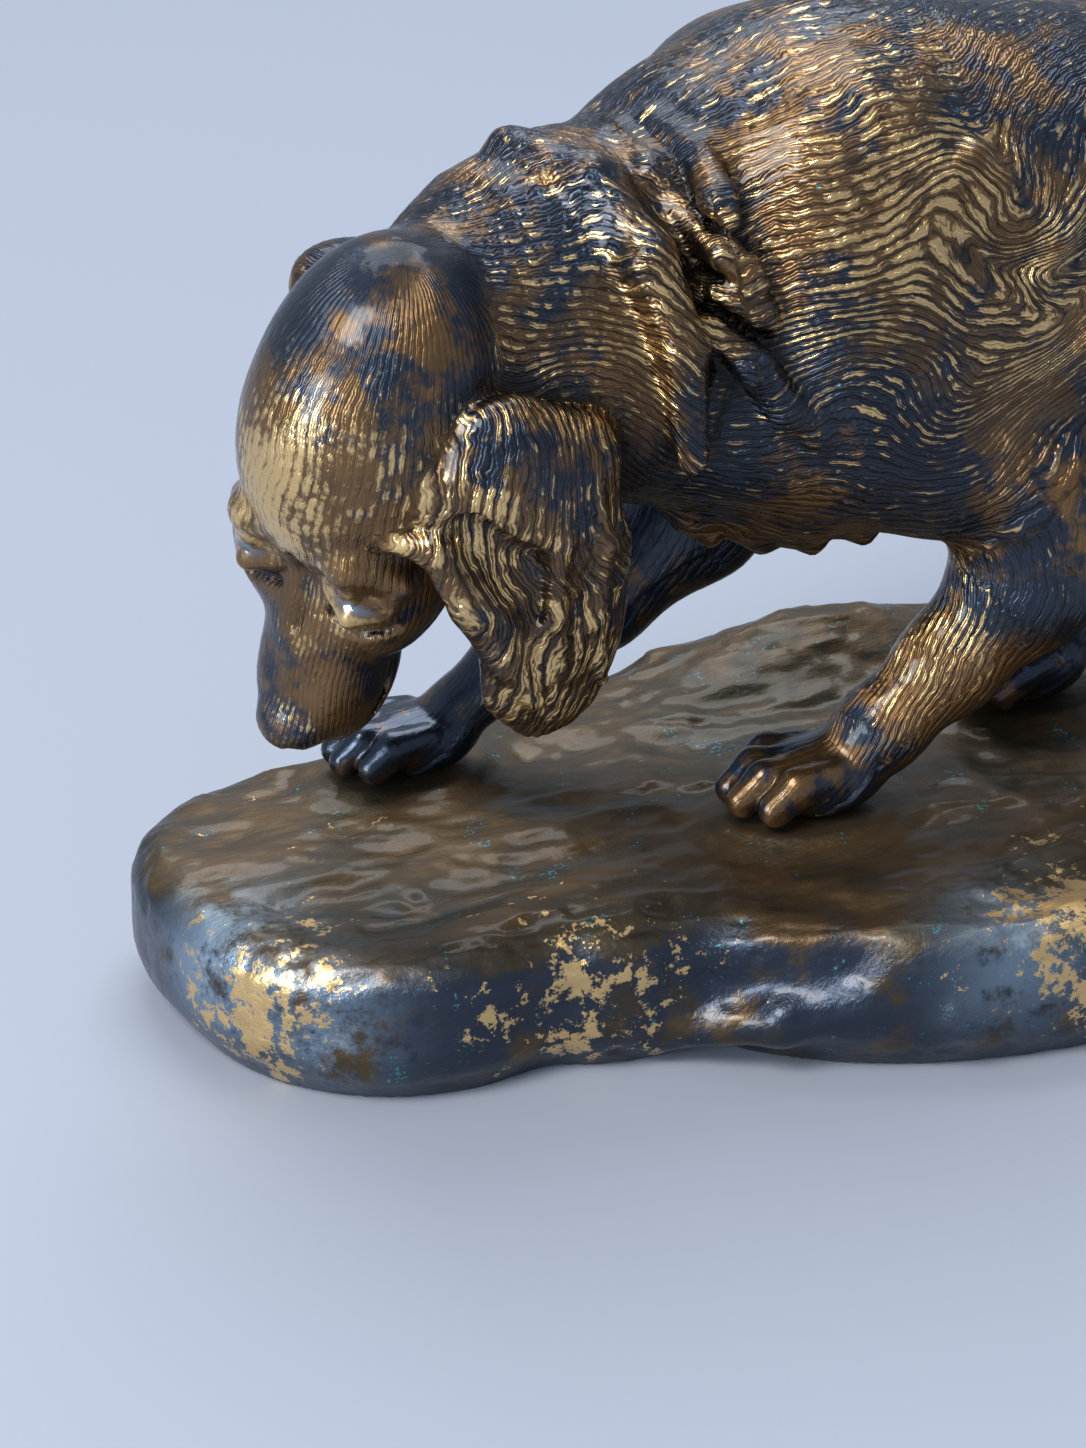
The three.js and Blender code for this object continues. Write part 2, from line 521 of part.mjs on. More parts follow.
// Merges edges in order of how little the surface moves, until `target` facets are left.
// `care` is how much more a place counts than a plain one.
function simplify(mesh, target, care) {
  const points = mesh.points.map((p) => [...p]);
  const faces = mesh.faces.map((f) => [...f]);
  const alive = faces.map(() => true);
  const around = points.map(() => new Set());
  const quadrics = points.map(() => new Array(10).fill(0));
  const stamp = points.map(() => 0);
  const normalOf = (a, b, c) => cross(sub(b, a), sub(c, a));
  faces.forEach((f, index) => {
    const normal = normalOf(...f.map((v) => points[v]));
    const area = Math.hypot(...normal);
    const flat = scaled(normal, 1 / (area + 1e-12));
    const q = planeQuadric(flat, -dot(flat, points[f[0]]), area);
    f.forEach((v) => {
      around[v].add(index);
      for (let i = 0; i < 10; i += 1) quadrics[v][i] += q[i];
    });
  });
  const neighbours = (v) => {
    const out = new Set();
    for (const f of around[v]) faces[f].forEach((w) => out.add(w));
    out.delete(v);
    return out;
  };
  const queue = new Queue();
  const propose = (a, b) => {
    const q = quadrics[a].map((value, i) => value + quadrics[b][i]);
    const middle = scaled([points[a][0] + points[b][0], points[a][1] + points[b][1], points[a][2] + points[b][2]], 0.5);
    const span = Math.hypot(...sub(points[a], points[b]));
    const options = [middle, points[a], points[b]];
    const best = quadricPoint(q);
    if (best && Math.hypot(...sub(best, middle)) < span) options.unshift(best);
    let place = options[0];
    let cost = Infinity;
    for (const option of options) {
      const value = quadricCost(q, option);
      if (value < cost - 1e-9) {
        cost = value;
        place = option;
      }
    }
    const total = Math.max(cost, 0) * care(middle) + 2e-4 * span ** 4;
    queue.push({ cost: total, a, b, place, q, sa: stamp[a], sb: stamp[b] });
  };
  points.forEach((p, v) => {
    for (const w of neighbours(v)) if (v < w) propose(v, w);
  });
  const keeps = (v, other, place) => {
    for (const f of around[v]) {
      if (faces[f].includes(other)) continue;
      const before = faces[f].map((w) => points[w]);
      const after = faces[f].map((w) => (w === v ? place : points[w]));
      const n0 = normalOf(...before);
      const n1 = normalOf(...after);
      const a1 = Math.hypot(...n1);
      if (dot(n0, n1) < 0.35 * Math.hypot(...n0) * a1) return false;
      const longest = Math.max(...[0, 1, 2].map((i) => Math.hypot(...sub(after[i], after[(i + 1) % 3]))));
      if (a1 < 0.06 * longest ** 2) return false;
    }
    return true;
  };
  let left = faces.length;
  while (left > target && queue.items.length) {
    const { a, b, place, q, sa, sb } = queue.pop();
    if (stamp[a] !== sa || stamp[b] !== sb) continue;
    const na = neighbours(a);
    const shared = [...neighbours(b)].filter((w) => na.has(w));
    if (shared.length !== 2 || !keeps(a, b, place) || !keeps(b, a, place)) continue;
    points[a] = place;
    quadrics[a] = q;
    for (const f of [...around[b]]) {
      if (faces[f].includes(a)) {
        alive[f] = false;
        left -= 1;
        faces[f].forEach((w) => around[w].delete(f));
      } else {
        faces[f] = faces[f].map((w) => (w === b ? a : w));
        around[a].add(f);
      }
    }
    around[b].clear();
    stamp[b] = -1;
    stamp[a] += 1;
    for (const w of neighbours(a)) {
      stamp[w] += 1;
    }
    const renew = new Set([a, ...neighbours(a)]);
    for (const v of renew) {
      for (const w of neighbours(v)) if (!renew.has(w) || v < w) propose(v, w);
    }
  }
  const index = new Map();
  const keptPoints = [];
  const keptFaces = [];
  faces.forEach((f, i) => {
    if (!alive[i]) return;
    keptFaces.push(f.map((v) => {
      if (!index.has(v)) {
        index.set(v, keptPoints.length);
        keptPoints.push(points[v]);
      }
      return index.get(v);
    }));
  });
  return { points: keptPoints, faces: keptFaces };
}

// Solids.
const wasm = await Module();
wasm.setup();

function solidOf(mesh) {
  return new wasm.Manifold(new wasm.Mesh({
    numProp: 3,
    vertProperties: Float32Array.from(mesh.points.flat()),
    triVerts: Uint32Array.from(mesh.faces.flat()),
  }));
}

// A closed three.js shape as a solid: its points welded by place.
function solidOfShape(geometry) {
  const place = geometry.getAttribute('position');
  const index = geometry.getIndex();
  const known = new Map();
  const points = [];
  const weld = (i) => {
    const p = [place.getX(i), place.getY(i), place.getZ(i)];
    const name = p.map((v) => Math.round(v * 1e4)).join();
    if (!known.has(name)) {
      known.set(name, points.length);
      points.push(p);
    }
    return known.get(name);
  };
  const faces = [];
  for (let i = 0; i < index.count; i += 3) {
    const f = [0, 1, 2].map((j) => weld(index.getX(i + j)));
    if (new Set(f).size === 3) faces.push(f);
  }
  return solidOf({ points, faces });
}

function block(low, high) {
  const shape = new THREE.BoxGeometry(high[0] - low[0], high[1] - low[1], high[2] - low[2]);
  shape.translate((low[0] + high[0]) / 2, (low[1] + high[1]) / 2, (low[2] + high[2]) / 2);
  return solidOfShape(shape);
}

function geometryOf(solid) {
  const mesh = solid.getMesh();
  const geometry = new THREE.BufferGeometry();
  geometry.setAttribute('position', new THREE.BufferAttribute(new Float32Array(mesh.vertProperties), 3));
  geometry.setIndex(new THREE.BufferAttribute(new Uint32Array(mesh.triVerts), 1));
  geometry.computeVertexNormals();
  return geometry;
}

// The dog: the face and the paws take finer facets than the trunk.
const DOG_LOW = [-106, -38, -4];
const DOG_HIGH = [100, 36, 100];
function dogCare(p) {
  const face = Math.hypot(p[0] + 80, p[1] + 12, p[2] - 32) < 27 ? 5 : 1;
  const foot = p[2] < 9 ? 2.2 : 1;
  const seen = p[0] < -25 && p[1] < 0 ? 1.6 : 1;
  return face * foot * seen;
}
const dogMesh = simplify(outerSkin(facet(dog, DOG_LOW, DOG_HIGH, DOG_STEP)), DOG_FACETS, dogCare);
dogMesh.points = dogMesh.points.map((p) => [p[0] * UNIT, p[1] * UNIT, p[2] * UNIT + SEAT_HEIGHT]);
const soleCut = block([-250, -120, SEAT_HEIGHT - 30], [250, 120, SEAT_HEIGHT + JOINT_GAP]);
const dogSolid = solidOf(dogMesh).subtract(soleCut);

// The ground: a pad is raised to the seat under each paw, and nothing stands above the pad beside it.
function padShape(foot, bottom, top, grow) {
  const shape = new THREE.CylinderGeometry(1, 1.08, top - bottom, 20);
  shape.rotateX(Math.PI / 2);
  const reach = foot.size * UNIT * PAD_MARGIN * grow;
  shape.scale(PAW_HALF[0] * reach, PAW_HALF[1] * reach, 1);
  shape.rotateZ(foot.yaw);
  const lead = foot.size * UNIT;
  shape.translate(
    foot.x * UNIT + Math.cos(foot.yaw) * lead,
    foot.y * UNIT + Math.sin(foot.yaw) * lead,
    (bottom + top) / 2,
  );
  return solidOfShape(shape);
}
const GROUND_LOW = [-END - 8, -102, -6];
const GROUND_HIGH = [END + 8, 76, SEAT_HEIGHT + MOUND_RISE + 6];
const groundMesh = simplify(outerSkin(facet(ground, GROUND_LOW, GROUND_HIGH, GROUND_STEP)), GROUND_FACETS, () => 1);
let groundSolid = solidOf(groundMesh);
groundSolid = groundSolid.subtract(block([-END - 40, -140, -30], [END + 40, 140, 0]));
for (const leg of Object.values(LEGS)) {
  groundSolid = groundSolid.add(padShape(leg.paw, SEAT_HEIGHT - 9, SEAT_HEIGHT, 1));
  groundSolid = groundSolid.subtract(padShape(leg.paw, SEAT_HEIGHT, SEAT_HEIGHT + 24, 1.08));
}

const bronze = new THREE.MeshStandardMaterial({ color: 0x4a3a28, roughness: 0.34, metalness: 0.9 });
const darkBronze = new THREE.MeshStandardMaterial({ color: 0x2c2f33, roughness: 0.38, metalness: 0.85 });

const spaniel = new THREE.Mesh(geometryOf(dogSolid), bronze);
spaniel.name = 'spaniel';
const terrainBase = new THREE.Mesh(geometryOf(groundSolid), darkBronze);
terrainBase.name = 'terrain_base';

const sculpture = new THREE.Group();
sculpture.add(spaniel, terrainBase);
export default sculpture;
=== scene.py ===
import logging
import math
from dataclasses import dataclass
from enum import Enum
from typing import Callable, Optional, Sequence

import bpy
import numpy as np
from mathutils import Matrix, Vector


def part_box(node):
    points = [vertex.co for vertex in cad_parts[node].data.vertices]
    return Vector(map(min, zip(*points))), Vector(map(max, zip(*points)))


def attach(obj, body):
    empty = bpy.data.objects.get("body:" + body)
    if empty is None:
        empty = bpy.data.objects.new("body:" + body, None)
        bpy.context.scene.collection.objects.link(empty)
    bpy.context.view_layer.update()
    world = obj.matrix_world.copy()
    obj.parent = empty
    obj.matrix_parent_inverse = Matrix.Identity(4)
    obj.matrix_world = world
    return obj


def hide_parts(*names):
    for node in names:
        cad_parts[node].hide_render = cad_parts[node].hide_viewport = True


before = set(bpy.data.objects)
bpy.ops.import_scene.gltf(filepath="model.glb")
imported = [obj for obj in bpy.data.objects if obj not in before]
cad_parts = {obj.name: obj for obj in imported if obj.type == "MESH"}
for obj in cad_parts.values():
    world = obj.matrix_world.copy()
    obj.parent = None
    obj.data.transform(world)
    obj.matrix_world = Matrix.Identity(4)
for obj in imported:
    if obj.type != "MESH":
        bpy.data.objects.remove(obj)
LOG = logging.getLogger("spaniel")

# The figure is worked in shares of the dog's height, and the ground in millimetres, as in the part.
DOG_HEIGHT = 165.0
WITHERS_SHARE = 91.7
UNIT = DOG_HEIGHT / WITHERS_SHARE
JOINT_GAP = 0.3
SEAT_HEIGHT = 34.0
GROUND_TOP = 33.4
GROUND_LENGTH = 343.0
END = GROUND_LENGTH / 2
MM = 0.001

Array = np.ndarray
Field = Callable[[Array], Array]


# Fields
def unit(v: Sequence[float]) -> Array:
    """The vector at length one."""
    v = np.asarray(v, float)
    return v / np.linalg.norm(v)


def soft_union(a: Array, b: Array, k: float) -> Array:
    """Joins two distances, rounded over the width k."""
    h = np.clip(0.5 + 0.5 * (b - a) / k, 0, 1)
    return b + (a - b) * h - k * h * (1 - h)


def soft_cut(a: Array, b: Array, k: float) -> Array:
    """The part of a outside b, where b is already the negative of a solid's distance."""
    return -soft_union(-a, -b, k)


def blob(centre: Sequence[float], radii: Sequence[float], axes: Optional[Array] = None) -> Field:
    """An ellipsoid.

    Args:
        centre: its middle.
        radii: its three radii.
        axes: three rows of unit vectors, where it is turned.

    Returns:
        Its distance field.
    """
    c = np.asarray(centre, float)
    r = np.asarray(radii, float)

    def distance(p: Array) -> Array:
        q = p - c
        if axes is not None:
            q = q @ axes.T
        k0 = np.linalg.norm(q / r, axis=1)
        k1 = np.linalg.norm(q / r**2, axis=1) + 1e-9
        return k0 * (k0 - 1) / k1

    return distance


class Chain:
    """A chain of tapered elliptic stretches, which knows distance and the coordinates along and round it."""

    def __init__(
        self, stations: Sequence[Sequence[float]], side: Sequence[float] = (0, 1, 0), k: float = 2.0
    ) -> None:
        """Lays the stretches out.

        Args:
            stations: rows of x, y, z, radius toward side, other radius.
            side: the first cross direction.
            k: blend width between stretches.
        """
        self.j = np.asarray(stations, float)
        self.k = k
        self.parts = []
        start = 0.0
        for a, b in zip(self.j[:-1], self.j[1:]):
            along = b[:3] - a[:3]
            length = float(np.linalg.norm(along))
            ax = along / length
            s = unit(np.asarray(side, float) - ax * (np.asarray(side, float) @ ax))
            self.parts.append((a, b, length, ax, s, np.cross(ax, s), start))
            start += length

    def _stretch(self, p: Array, part: tuple) -> tuple[Array, Array, Array]:
        """Distance from one stretch, and the length along it and the angle round it."""
        a, b, length, ax, s, u, start = part
        q = p - a[:3]
        t0 = q @ ax / length
        t = np.clip(t0, 0, 1)
        rs = a[3] + (b[3] - a[3]) * t
        ru = a[4] + (b[4] - a[4]) * t
        qs, qu = q @ s, q @ u
        over = (t0 - t) * length * 2 / (rs + ru)
        d = (np.sqrt((qs / rs) ** 2 + (qu / ru) ** 2 + over**2) - 1) * np.minimum(rs, ru)
        return d, start + t * length, np.arctan2(qu / ru, qs / rs)

    def __call__(self, p: Array) -> Array:
        """Distance from the whole chain, blended between its stretches."""
        out = None
        for part in self.parts:
            d = self._stretch(p, part)[0]
            out = d if out is None else soft_union(out, d, self.k)
        return out

    def coords(self, p: Array) -> tuple[Array, Array]:
        """The length along the chain and the angle round it, from the nearest stretch."""
        best = np.full(len(p), 1e9)
        along, angle = np.zeros(len(p)), np.zeros(len(p))
        for part in self.parts:
            d, s, a = self._stretch(p, part)
            near = d < best
            best[near], along[near], angle[near] = d[near], s[near], a[near]
        return along, angle


def lock(points: Sequence[Sequence[float]], radius: float, k: float = 1.2) -> Chain:
    """A round lock of hair through the points, fullest in its middle."""
    last = len(points) - 1
    rows = []
    for i, p in enumerate(points):
        r = radius * (0.45 + 0.55 * math.sin(math.pi * (i + 0.35) / (last + 0.7)))
        rows.append((*p, r, r))
    return Chain(rows, (0.31, 0.55, 0.77), k)


def within(low: Sequence[float], high: Sequence[float], inner: Field, margin: float = 6.0) -> Field:
    """A field that is only worked out inside its own box."""
    lo, hi = np.asarray(low, float) - margin, np.asarray(high, float) + margin

    def distance(p: Array) -> Array:
        d = np.full(len(p), 60.0)
        inside = ((p > lo) & (p < hi)).all(axis=1)
        if inside.any():
            d[inside] = inner(p[inside])
        return d

    return distance


def nearest(fields: Sequence[Field]) -> Field:
    """The plain union of several fields."""
    return lambda p: np.minimum.reduce([f(p) for f in fields])


def mirrored(p: Array, axis: int) -> Array:
    """The points with one coordinate made positive."""
    q = p.copy()
    q[:, axis] = np.abs(q[:, axis])
    return q


# Noise
def hashed(*cells: Array) -> Array:
    """A steady random number from 0 to 1 for each whole-number cell."""
    h = np.zeros(np.shape(cells[0]), np.uint64)
    for cell, prime in zip(cells, (73856093, 19349663, 83492791)):
        h ^= (cell.astype(np.int64) + 100000).astype(np.uint64) * np.uint64(prime)
    h = (h ^ (h >> np.uint64(13))) * np.uint64(1274126177)
    return ((h ^ (h >> np.uint64(16))) & np.uint64(0xFFFF)).astype(float) / 65535.0


def noise2(x: Array, y: Array) -> Array:
    """Smooth noise in two directions, from 0 to 1."""
    i, j = np.floor(x), np.floor(y)
    u, v = x - i, y - j
    u, v = u * u * (3 - 2 * u), v * v * (3 - 2 * v)
    low = hashed(i, j) * (1 - u) + hashed(i + 1, j) * u
    high = hashed(i, j + 1) * (1 - u) + hashed(i + 1, j + 1) * u
    return low * (1 - v) + high * v


def noise3(p: Array, scale: float) -> Array:
    """Smooth noise in space at that scale, from 0 to 1."""
    q = p / scale
    i = np.floor(q)
    f = q - i
    f = f * f * (3 - 2 * f)
    out = np.zeros(len(p))
    for dx in (0, 1):
        for dy in (0, 1):
            for dz in (0, 1):
                w = np.abs(1 - dx - f[:, 0]) * np.abs(1 - dy - f[:, 1]) * np.abs(1 - dz - f[:, 2])
                out += w * hashed(i[:, 0] + dx, i[:, 1] + dy, i[:, 2] + dz)
    return out


def billow(p: Array, scale: float, octaves: int = 3) -> Array:
    """Noise of several sizes, from 0 to 1."""
    out, total, weight = np.zeros(len(p)), 0.0, 1.0
    for _ in range(octaves):
        out += weight * noise3(p, scale)
        total += weight
        weight *= 0.5
        scale *= 0.5
    return out / total


# Surfaces
def sample(fn: Field, low: Array, high: Array, step: float, block: int = 8) -> tuple[Array, Array]:
    """Samples a field on a grid, finely only in the blocks near its surface."""
    low = np.asarray(low, float)
    n = np.ceil((np.asarray(high, float) - low) / step / block).astype(int)
    centres = np.stack(np.meshgrid(*[np.arange(k) for k in n], indexing="ij"), -1).reshape(-1, 3)
    middle = fn(low + (centres + 0.5) * block * step)
    coarse = np.where(middle.reshape(tuple(n)) < 0, -1.0, 1.0)
    grid = np.full(tuple(n * block + 1), 1.0)
    grid[:-1, :-1, :-1] = np.kron(coarse, np.ones((block, block, block)))
    near = centres[np.abs(middle) < block * step * 1.45]
    offsets = np.stack(np.meshgrid(*[np.arange(block + 1)] * 3, indexing="ij"), -1).reshape(-1, 3)
    for s in range(0, len(near), 300):
        g = (near[s : s + 300, None, :] * block + offsets[None]).reshape(-1, 3)
        grid[g[:, 0], g[:, 1], g[:, 2]] = fn(low + g * step)
    return grid, low


def surface_nets(grid: Array, low: Array, step: float) -> tuple[Array, Array]:
    """Turns a sampled field into quads with one point a cell."""
    inside = grid < 0
    nx, ny, nz = grid.shape
    corners = [(i, j, k) for i in (0, 1) for j in (0, 1) for k in (0, 1)]
    count = np.zeros((nx - 1, ny - 1, nz - 1), np.uint8)
    for i, j, k in corners:
        count += inside[i : nx - 1 + i, j : ny - 1 + j, k : nz - 1 + k]
    active = (count > 0) & (count < 8)
    cells = np.argwhere(active)
    index = np.full(active.shape, -1, np.int64)
    index[active] = np.arange(len(cells))
    total, hits = np.zeros((len(cells), 3)), np.zeros(len(cells))
    values = {c: grid[cells[:, 0] + c[0], cells[:, 1] + c[1], cells[:, 2] + c[2]] for c in corners}
    for c in corners:
        for a in range(3):
            if c[a]:
                continue
            e = tuple(1 if i == a else v for i, v in enumerate(c))
            f0, f1 = values[c], values[e]
            m = (f0 < 0) != (f1 < 0)
            point = np.tile(np.array(c, float), (len(cells), 1))
            point[:, a] += f0 / (f0 - f1 + 1e-30)
            total[m] += point[m]
            hits[m] += 1
    verts = (cells + total / hits[:, None]) * step + low
    quads = []
    for a in range(3):
        b, c = (a + 1) % 3, (a + 2) % 3
        first = [slice(None)] * 3
        second = [slice(None)] * 3
        first[a], second[a] = slice(0, -1), slice(1, None)
        e = np.argwhere(inside[tuple(first)] != inside[tuple(second)])
        e = e[(e[:, b] > 0) & (e[:, c] > 0) & (e[:, b] < grid.shape[b] - 1) & (e[:, c] < grid.shape[c] - 1)]
        around = []
        for db, dc in ((0, 0), (1, 0), (1, 1), (0, 1)):
            q = e.copy()
            q[:, b] -= db
            q[:, c] -= dc
            around.append(index[q[:, 0], q[:, 1], q[:, 2]])
        quad = np.stack(around, 1)
        out = inside[e[:, 0], e[:, 1], e[:, 2]]
        quad[~out] = quad[~out][:, ::-1]
        quads.append(quad)
    return verts, np.concatenate(quads)


def outer_skin(verts: Array, quads: Array) -> tuple[Array, Array]:
    """Keeps the largest connected skin."""
    label = np.arange(len(verts))
    for _ in range(4000):
        low = label[quads].min(axis=1)
        before = label.copy()
        for i in range(4):
            np.minimum.at(label, quads[:, i], low)
        label = label[label]
        if (label == before).all():
            break
    names, sizes = np.unique(label, return_counts=True)
    keep = label == names[sizes.argmax()]
    new = np.cumsum(keep) - 1
    return verts[keep], new[quads[keep[quads[:, 0]]]]


def subdivide(verts: Array, quads: Array) -> tuple[Array, Array]:
    """Splits each quad in four."""
    edges = np.stack([quads, np.roll(quads, -1, axis=1)], -1).reshape(-1, 2)
    edges.sort(axis=1)
    key = edges[:, 0] * len(verts) + edges[:, 1]
    names, back = np.unique(key, return_inverse=True)
    middle = (verts[names // len(verts)] + verts[names % len(verts)]) / 2
    face = verts[quads].mean(axis=1)
    e = back.reshape(-1, 4) + len(verts)
    f = np.arange(len(quads)) + len(verts) + len(names)
    new = [np.stack([quads[:, i], e[:, i], f, e[:, i - 1]], 1) for i in range(4)]
    return np.concatenate([verts, middle, face]), np.concatenate(new)


TETRA = np.array([[1, -1, -1], [-1, -1, 1], [-1, 1, -1], [1, 1, 1]], float)


def gradient(fn: Field, p: Array, eps: float) -> Array:
    """The slope of a field, from four samples."""
    return sum(t * fn(p + eps * t)[:, None] for t in TETRA) / (4 * eps)


def settle(fn: Field, p: Array, eps: float, rounds: int = 2) -> tuple[Array, Array]:
    """Moves points onto a field's surface and gives their outward normals."""
    g = gradient(fn, p, eps)
    for _ in range(rounds):
        size = np.maximum((g**2).sum(1), 0.3)[:, None]
        move = g * fn(p)[:, None] / size
        length = np.linalg.norm(move, axis=1)[:, None]
        p = p - move * np.minimum(1, 4 * eps / (length + 1e-9))
        g = gradient(fn, p, eps)
    return p, g / (np.linalg.norm(g, axis=1)[:, None] + 1e-9)


def zones(points: Array, rows: Sequence[tuple]) -> Array:
    """How strongly places lie in soft round zones.

    Args:
        points: the places.
        rows: centre, radius and strength of each zone.

    Returns:
        The strongest zone's share at each place.
    """
    out = np.zeros(len(points))
    for centre, size, strength in rows:
        far = ((points - np.asarray(centre, float)) ** 2).sum(1) / size**2
        out = np.maximum(out, strength * np.exp(-far))
    return out


# The dog
LEG_BONES = {
    "near_fore": [(8, -15, 34, 8, 9.6), (4, -15.5, 24.5, 7.2, 8.4), (-5, -14.5, 15.5, 4.9, 5.8),
                  (-13, -13.5, 8.5, 4.4, 4.8), (-17, -13, 5.2, 4.4, 4)],
    "far_fore": [(-14, 12, 36, 8, 9), (-24, 12, 27, 7, 8), (-36, 13, 18, 5.2, 6),
                 (-46, 14.3, 11, 3.9, 4.3), (-53, 15.3, 6, 4, 3.8)],
    "near_hind": [(50, -11, 58, 9, 13), (43, -14, 43, 7.5, 12), (50, -15, 28, 5.2, 7.4),
                  (60.5, -15, 17.5, 3.4, 4.4), (58, -14.5, 9, 3.3, 3.5), (55.5, -14, 4.5, 3.5, 3.4)],
    "far_hind": [(48, 9, 56, 9, 13), (37, 12, 41, 7.5, 11), (34, 11, 26, 5.5, 7),
                 (37, 7, 13.5, 3.6, 4.6), (27, 4.5, 7.5, 3.5, 3.6), (21, 3.5, 4.5, 3.6, 3.4)],
}
LEG_BOXES = {
    "near_fore": ((-32, -26, -2), (18, -4, 44)),
    "far_fore": ((-72, 0, -2), (0, 24, 46)),
    "near_hind": ((38, -26, -2), (70, 2, 74)),
    "far_hind": ((4, -6, -2), (62, 24, 72)),
}


@dataclass(frozen=True)
class Paw:
    """A paw: a low body with four toes, heading along yaw about its middle."""

    x: float
    y: float
    yaw: float
    size: float

    HALF = (8.2, 6.1)
    TOES = ((-4.2, 4.2), (-1.5, 6.6), (1.5, 6.6), (4.2, 4.2))

    def local(self, p: Array) -> Array:
        """Points in the paw's own axes: ahead, across, up."""
        ahead = np.array([math.cos(self.yaw), math.sin(self.yaw), 0])
        across = np.array([-ahead[1], ahead[0], 0])
        return (p - np.array([self.x, self.y, 0])) @ np.stack([ahead, across, [0, 0, 1]]).T / self.size

    def field(self) -> Field:
        """The paw's distance field."""
        body = blob((0, 0, 3.2), (7, 5.4, 3.8))
        toes = []
        for lat, out in self.TOES:
            toes.append(Chain([(out - 4.5, lat * 0.85, 4.6, 1.7, 1.9), (out - 0.5, lat, 4.3, 1.9, 2.1),
                               (out + 1.8, lat * 1.03, 2.3, 1.6, 1.9)], k=0.8))

        def distance(p: Array) -> Array:
            q = self.local(p)
            out = body(q)
            for toe in toes:
                out = soft_union(out, toe(q), 0.35)
            return out * self.size

        return distance


PAWS = {
    "near_fore": Paw(-20.5, -12.4, math.pi - 0.12, 1.12),
    "far_fore": Paw(-57.8, 15.8, math.pi - 0.1, 1.05),
    "near_hind": Paw(51.5, -13.6, math.pi - 0.05, 1.05),
    "far_hind": Paw(16.5, 2.6, math.pi, 1.05),
}


class Head:
    """The lowered head, in axes sideways, forward and up the skull from between the eyes."""

    EYES = np.array([-79.9, -7.5, 38.9])

    def __init__(self) -> None:
        """Shapes the skull, the muzzle, the eyes with their lids, and the mouth."""
        side = unit((0.5, -0.83, -0.25))
        rough = np.array([-0.05, 0.23, -0.97])
        down = unit(rough - side * (rough @ side))
        self.axes = np.stack([side, np.cross(down, side), -down])
        self.skull = blob((0, -6.8, 15), (12.6, 13.8, 17))
        self.crown = blob((0, -10, 24), (10.5, 11, 12))
        self.muzzle = Chain([(0, -8.6, 2, 7.6, 7.6), (0, -7.8, -9, 6.5, 7.0),
                             (0, -6.6, -19, 5.6, 6.4)], (1, 0, 0), 3)
        self.cheek = blob((7.2, -8, -1), (4.8, 8, 9))
        self.flew = blob((3.6, -8, -16.5), (3.4, 6.6, 8))
        self.jaw = Chain([(0, -13, -4, 5, 3), (0, -12.6, -18, 3.6, 2.4)], (1, 0, 0), 2)
        self.nose = blob((0, -2.0, -22.2), (3.7, 3.2, 2.8))
        self.nostril = blob((1.9, -0.4, -24.2), (0.8, 0.9, 0.9))
        self.brow = Chain([(1.8, 0.4, 4.6, 1.5, 1.9), (6.2, 0.9, 4.9, 2.8, 2.3),
                           (10.2, -2.6, 2.4, 1.7, 1.8)], k=2)
        self.furrow = Chain([(0, 1.4, 7.5, 0.5, 1.2), (0, 0.6, -1, 0.7, 1.3),
                             (0, -0.2, -8, 0.4, 0.8)], (1, 0, 0), 1)
        self.pouch = Chain([(3.8, -1.2, -4.2, 0.7, 0.6), (7, -0.6, -5.1, 0.8, 0.6),
                            (10.4, -3, -3.6, 0.6, 0.6)], k=1)
        self.socket = blob((7.4, 1.2, -0.2), (4.3, 2.8, 1.9))
        self.ball = blob((6.8, -1.7, -0.3), (2.8, 2.8, 2.3))
        self.pupil = blob((6.9, 1.4, -0.3), (0.9, 0.8, 0.9))
        self.upper = Chain([(3.6, -0.5, 0.5, 1, 1), (6.6, 1.0, 1.7, 1.3, 1.2),
                            (9.9, -1.7, 0.2, 0.9, 0.9)], k=1)
        self.lower = Chain([(3.8, -0.6, -1.3, 1, 1), (6.8, 0.3, -2.4, 1.1, 1.1),
                            (9.8, -2.0, -1.4, 0.8, 0.8)], k=1)
        self.lip = Chain([(1.2, -4.6, -24, 0.6, 0.9), (5.6, -8.6, -20, 0.6, 0.9),
                          (8.4, -12.6, -9, 0.6, 0.9)],
                         (1, 0, 0), 1)

    def local(self, p: Array) -> Array:
        """Points in the head's own axes."""
        return (p - self.EYES) @ self.axes.T

    def __call__(self, p: Array) -> Array:
        """Distance from the head.

        Args:
            p: points in the dog's own axes.

        Returns:
            Their distance, less than zero inside.
        """
        q = self.local(p)
        both = mirrored(q, 0)
        d = soft_union(self.skull(q), self.crown(q), 5)
        d = soft_union(d, self.muzzle(q), 3)
        d = soft_union(d, self.cheek(both), 4)
        d = soft_union(d, self.flew(both), 2)
        d = soft_union(d, self.jaw(q), 2)
        d = soft_union(d, self.nose(q), 2.2)
        d = soft_cut(d, -self.nostril(both), 0.4)
        d = soft_union(d, self.brow(both), 1.4)
        d = soft_cut(d, -self.furrow(q), 1.2)
        d = soft_cut(d, -self.socket(both), 0.8)
        d = soft_union(d, self.ball(both), 0.3)
        d = soft_cut(d, -self.pupil(both), 0.2)
        d = soft_union(d, self.upper(both), 1.1)
        d = soft_union(d, self.lower(both), 1.1)
        d = soft_cut(d, -self.pouch(both), 0.7)
        return soft_cut(d, -self.lip(both), 0.6)


@dataclass(frozen=True)
class Coat:
    """How the hair lies on one region.

    Attributes:
        near: distance field of the region.
        coords: gives the length along the hair and the length across it.
        period: from one groove to the next, in shares.
        depth: depth of the grooves, in shares.
        run: length of one strand, in shares.
        sway: how many rows the strands wander.
    """

    near: Field
    coords: Callable[[Array], tuple]
    period: float
    depth: float
    run: float
    sway: float = 1.6


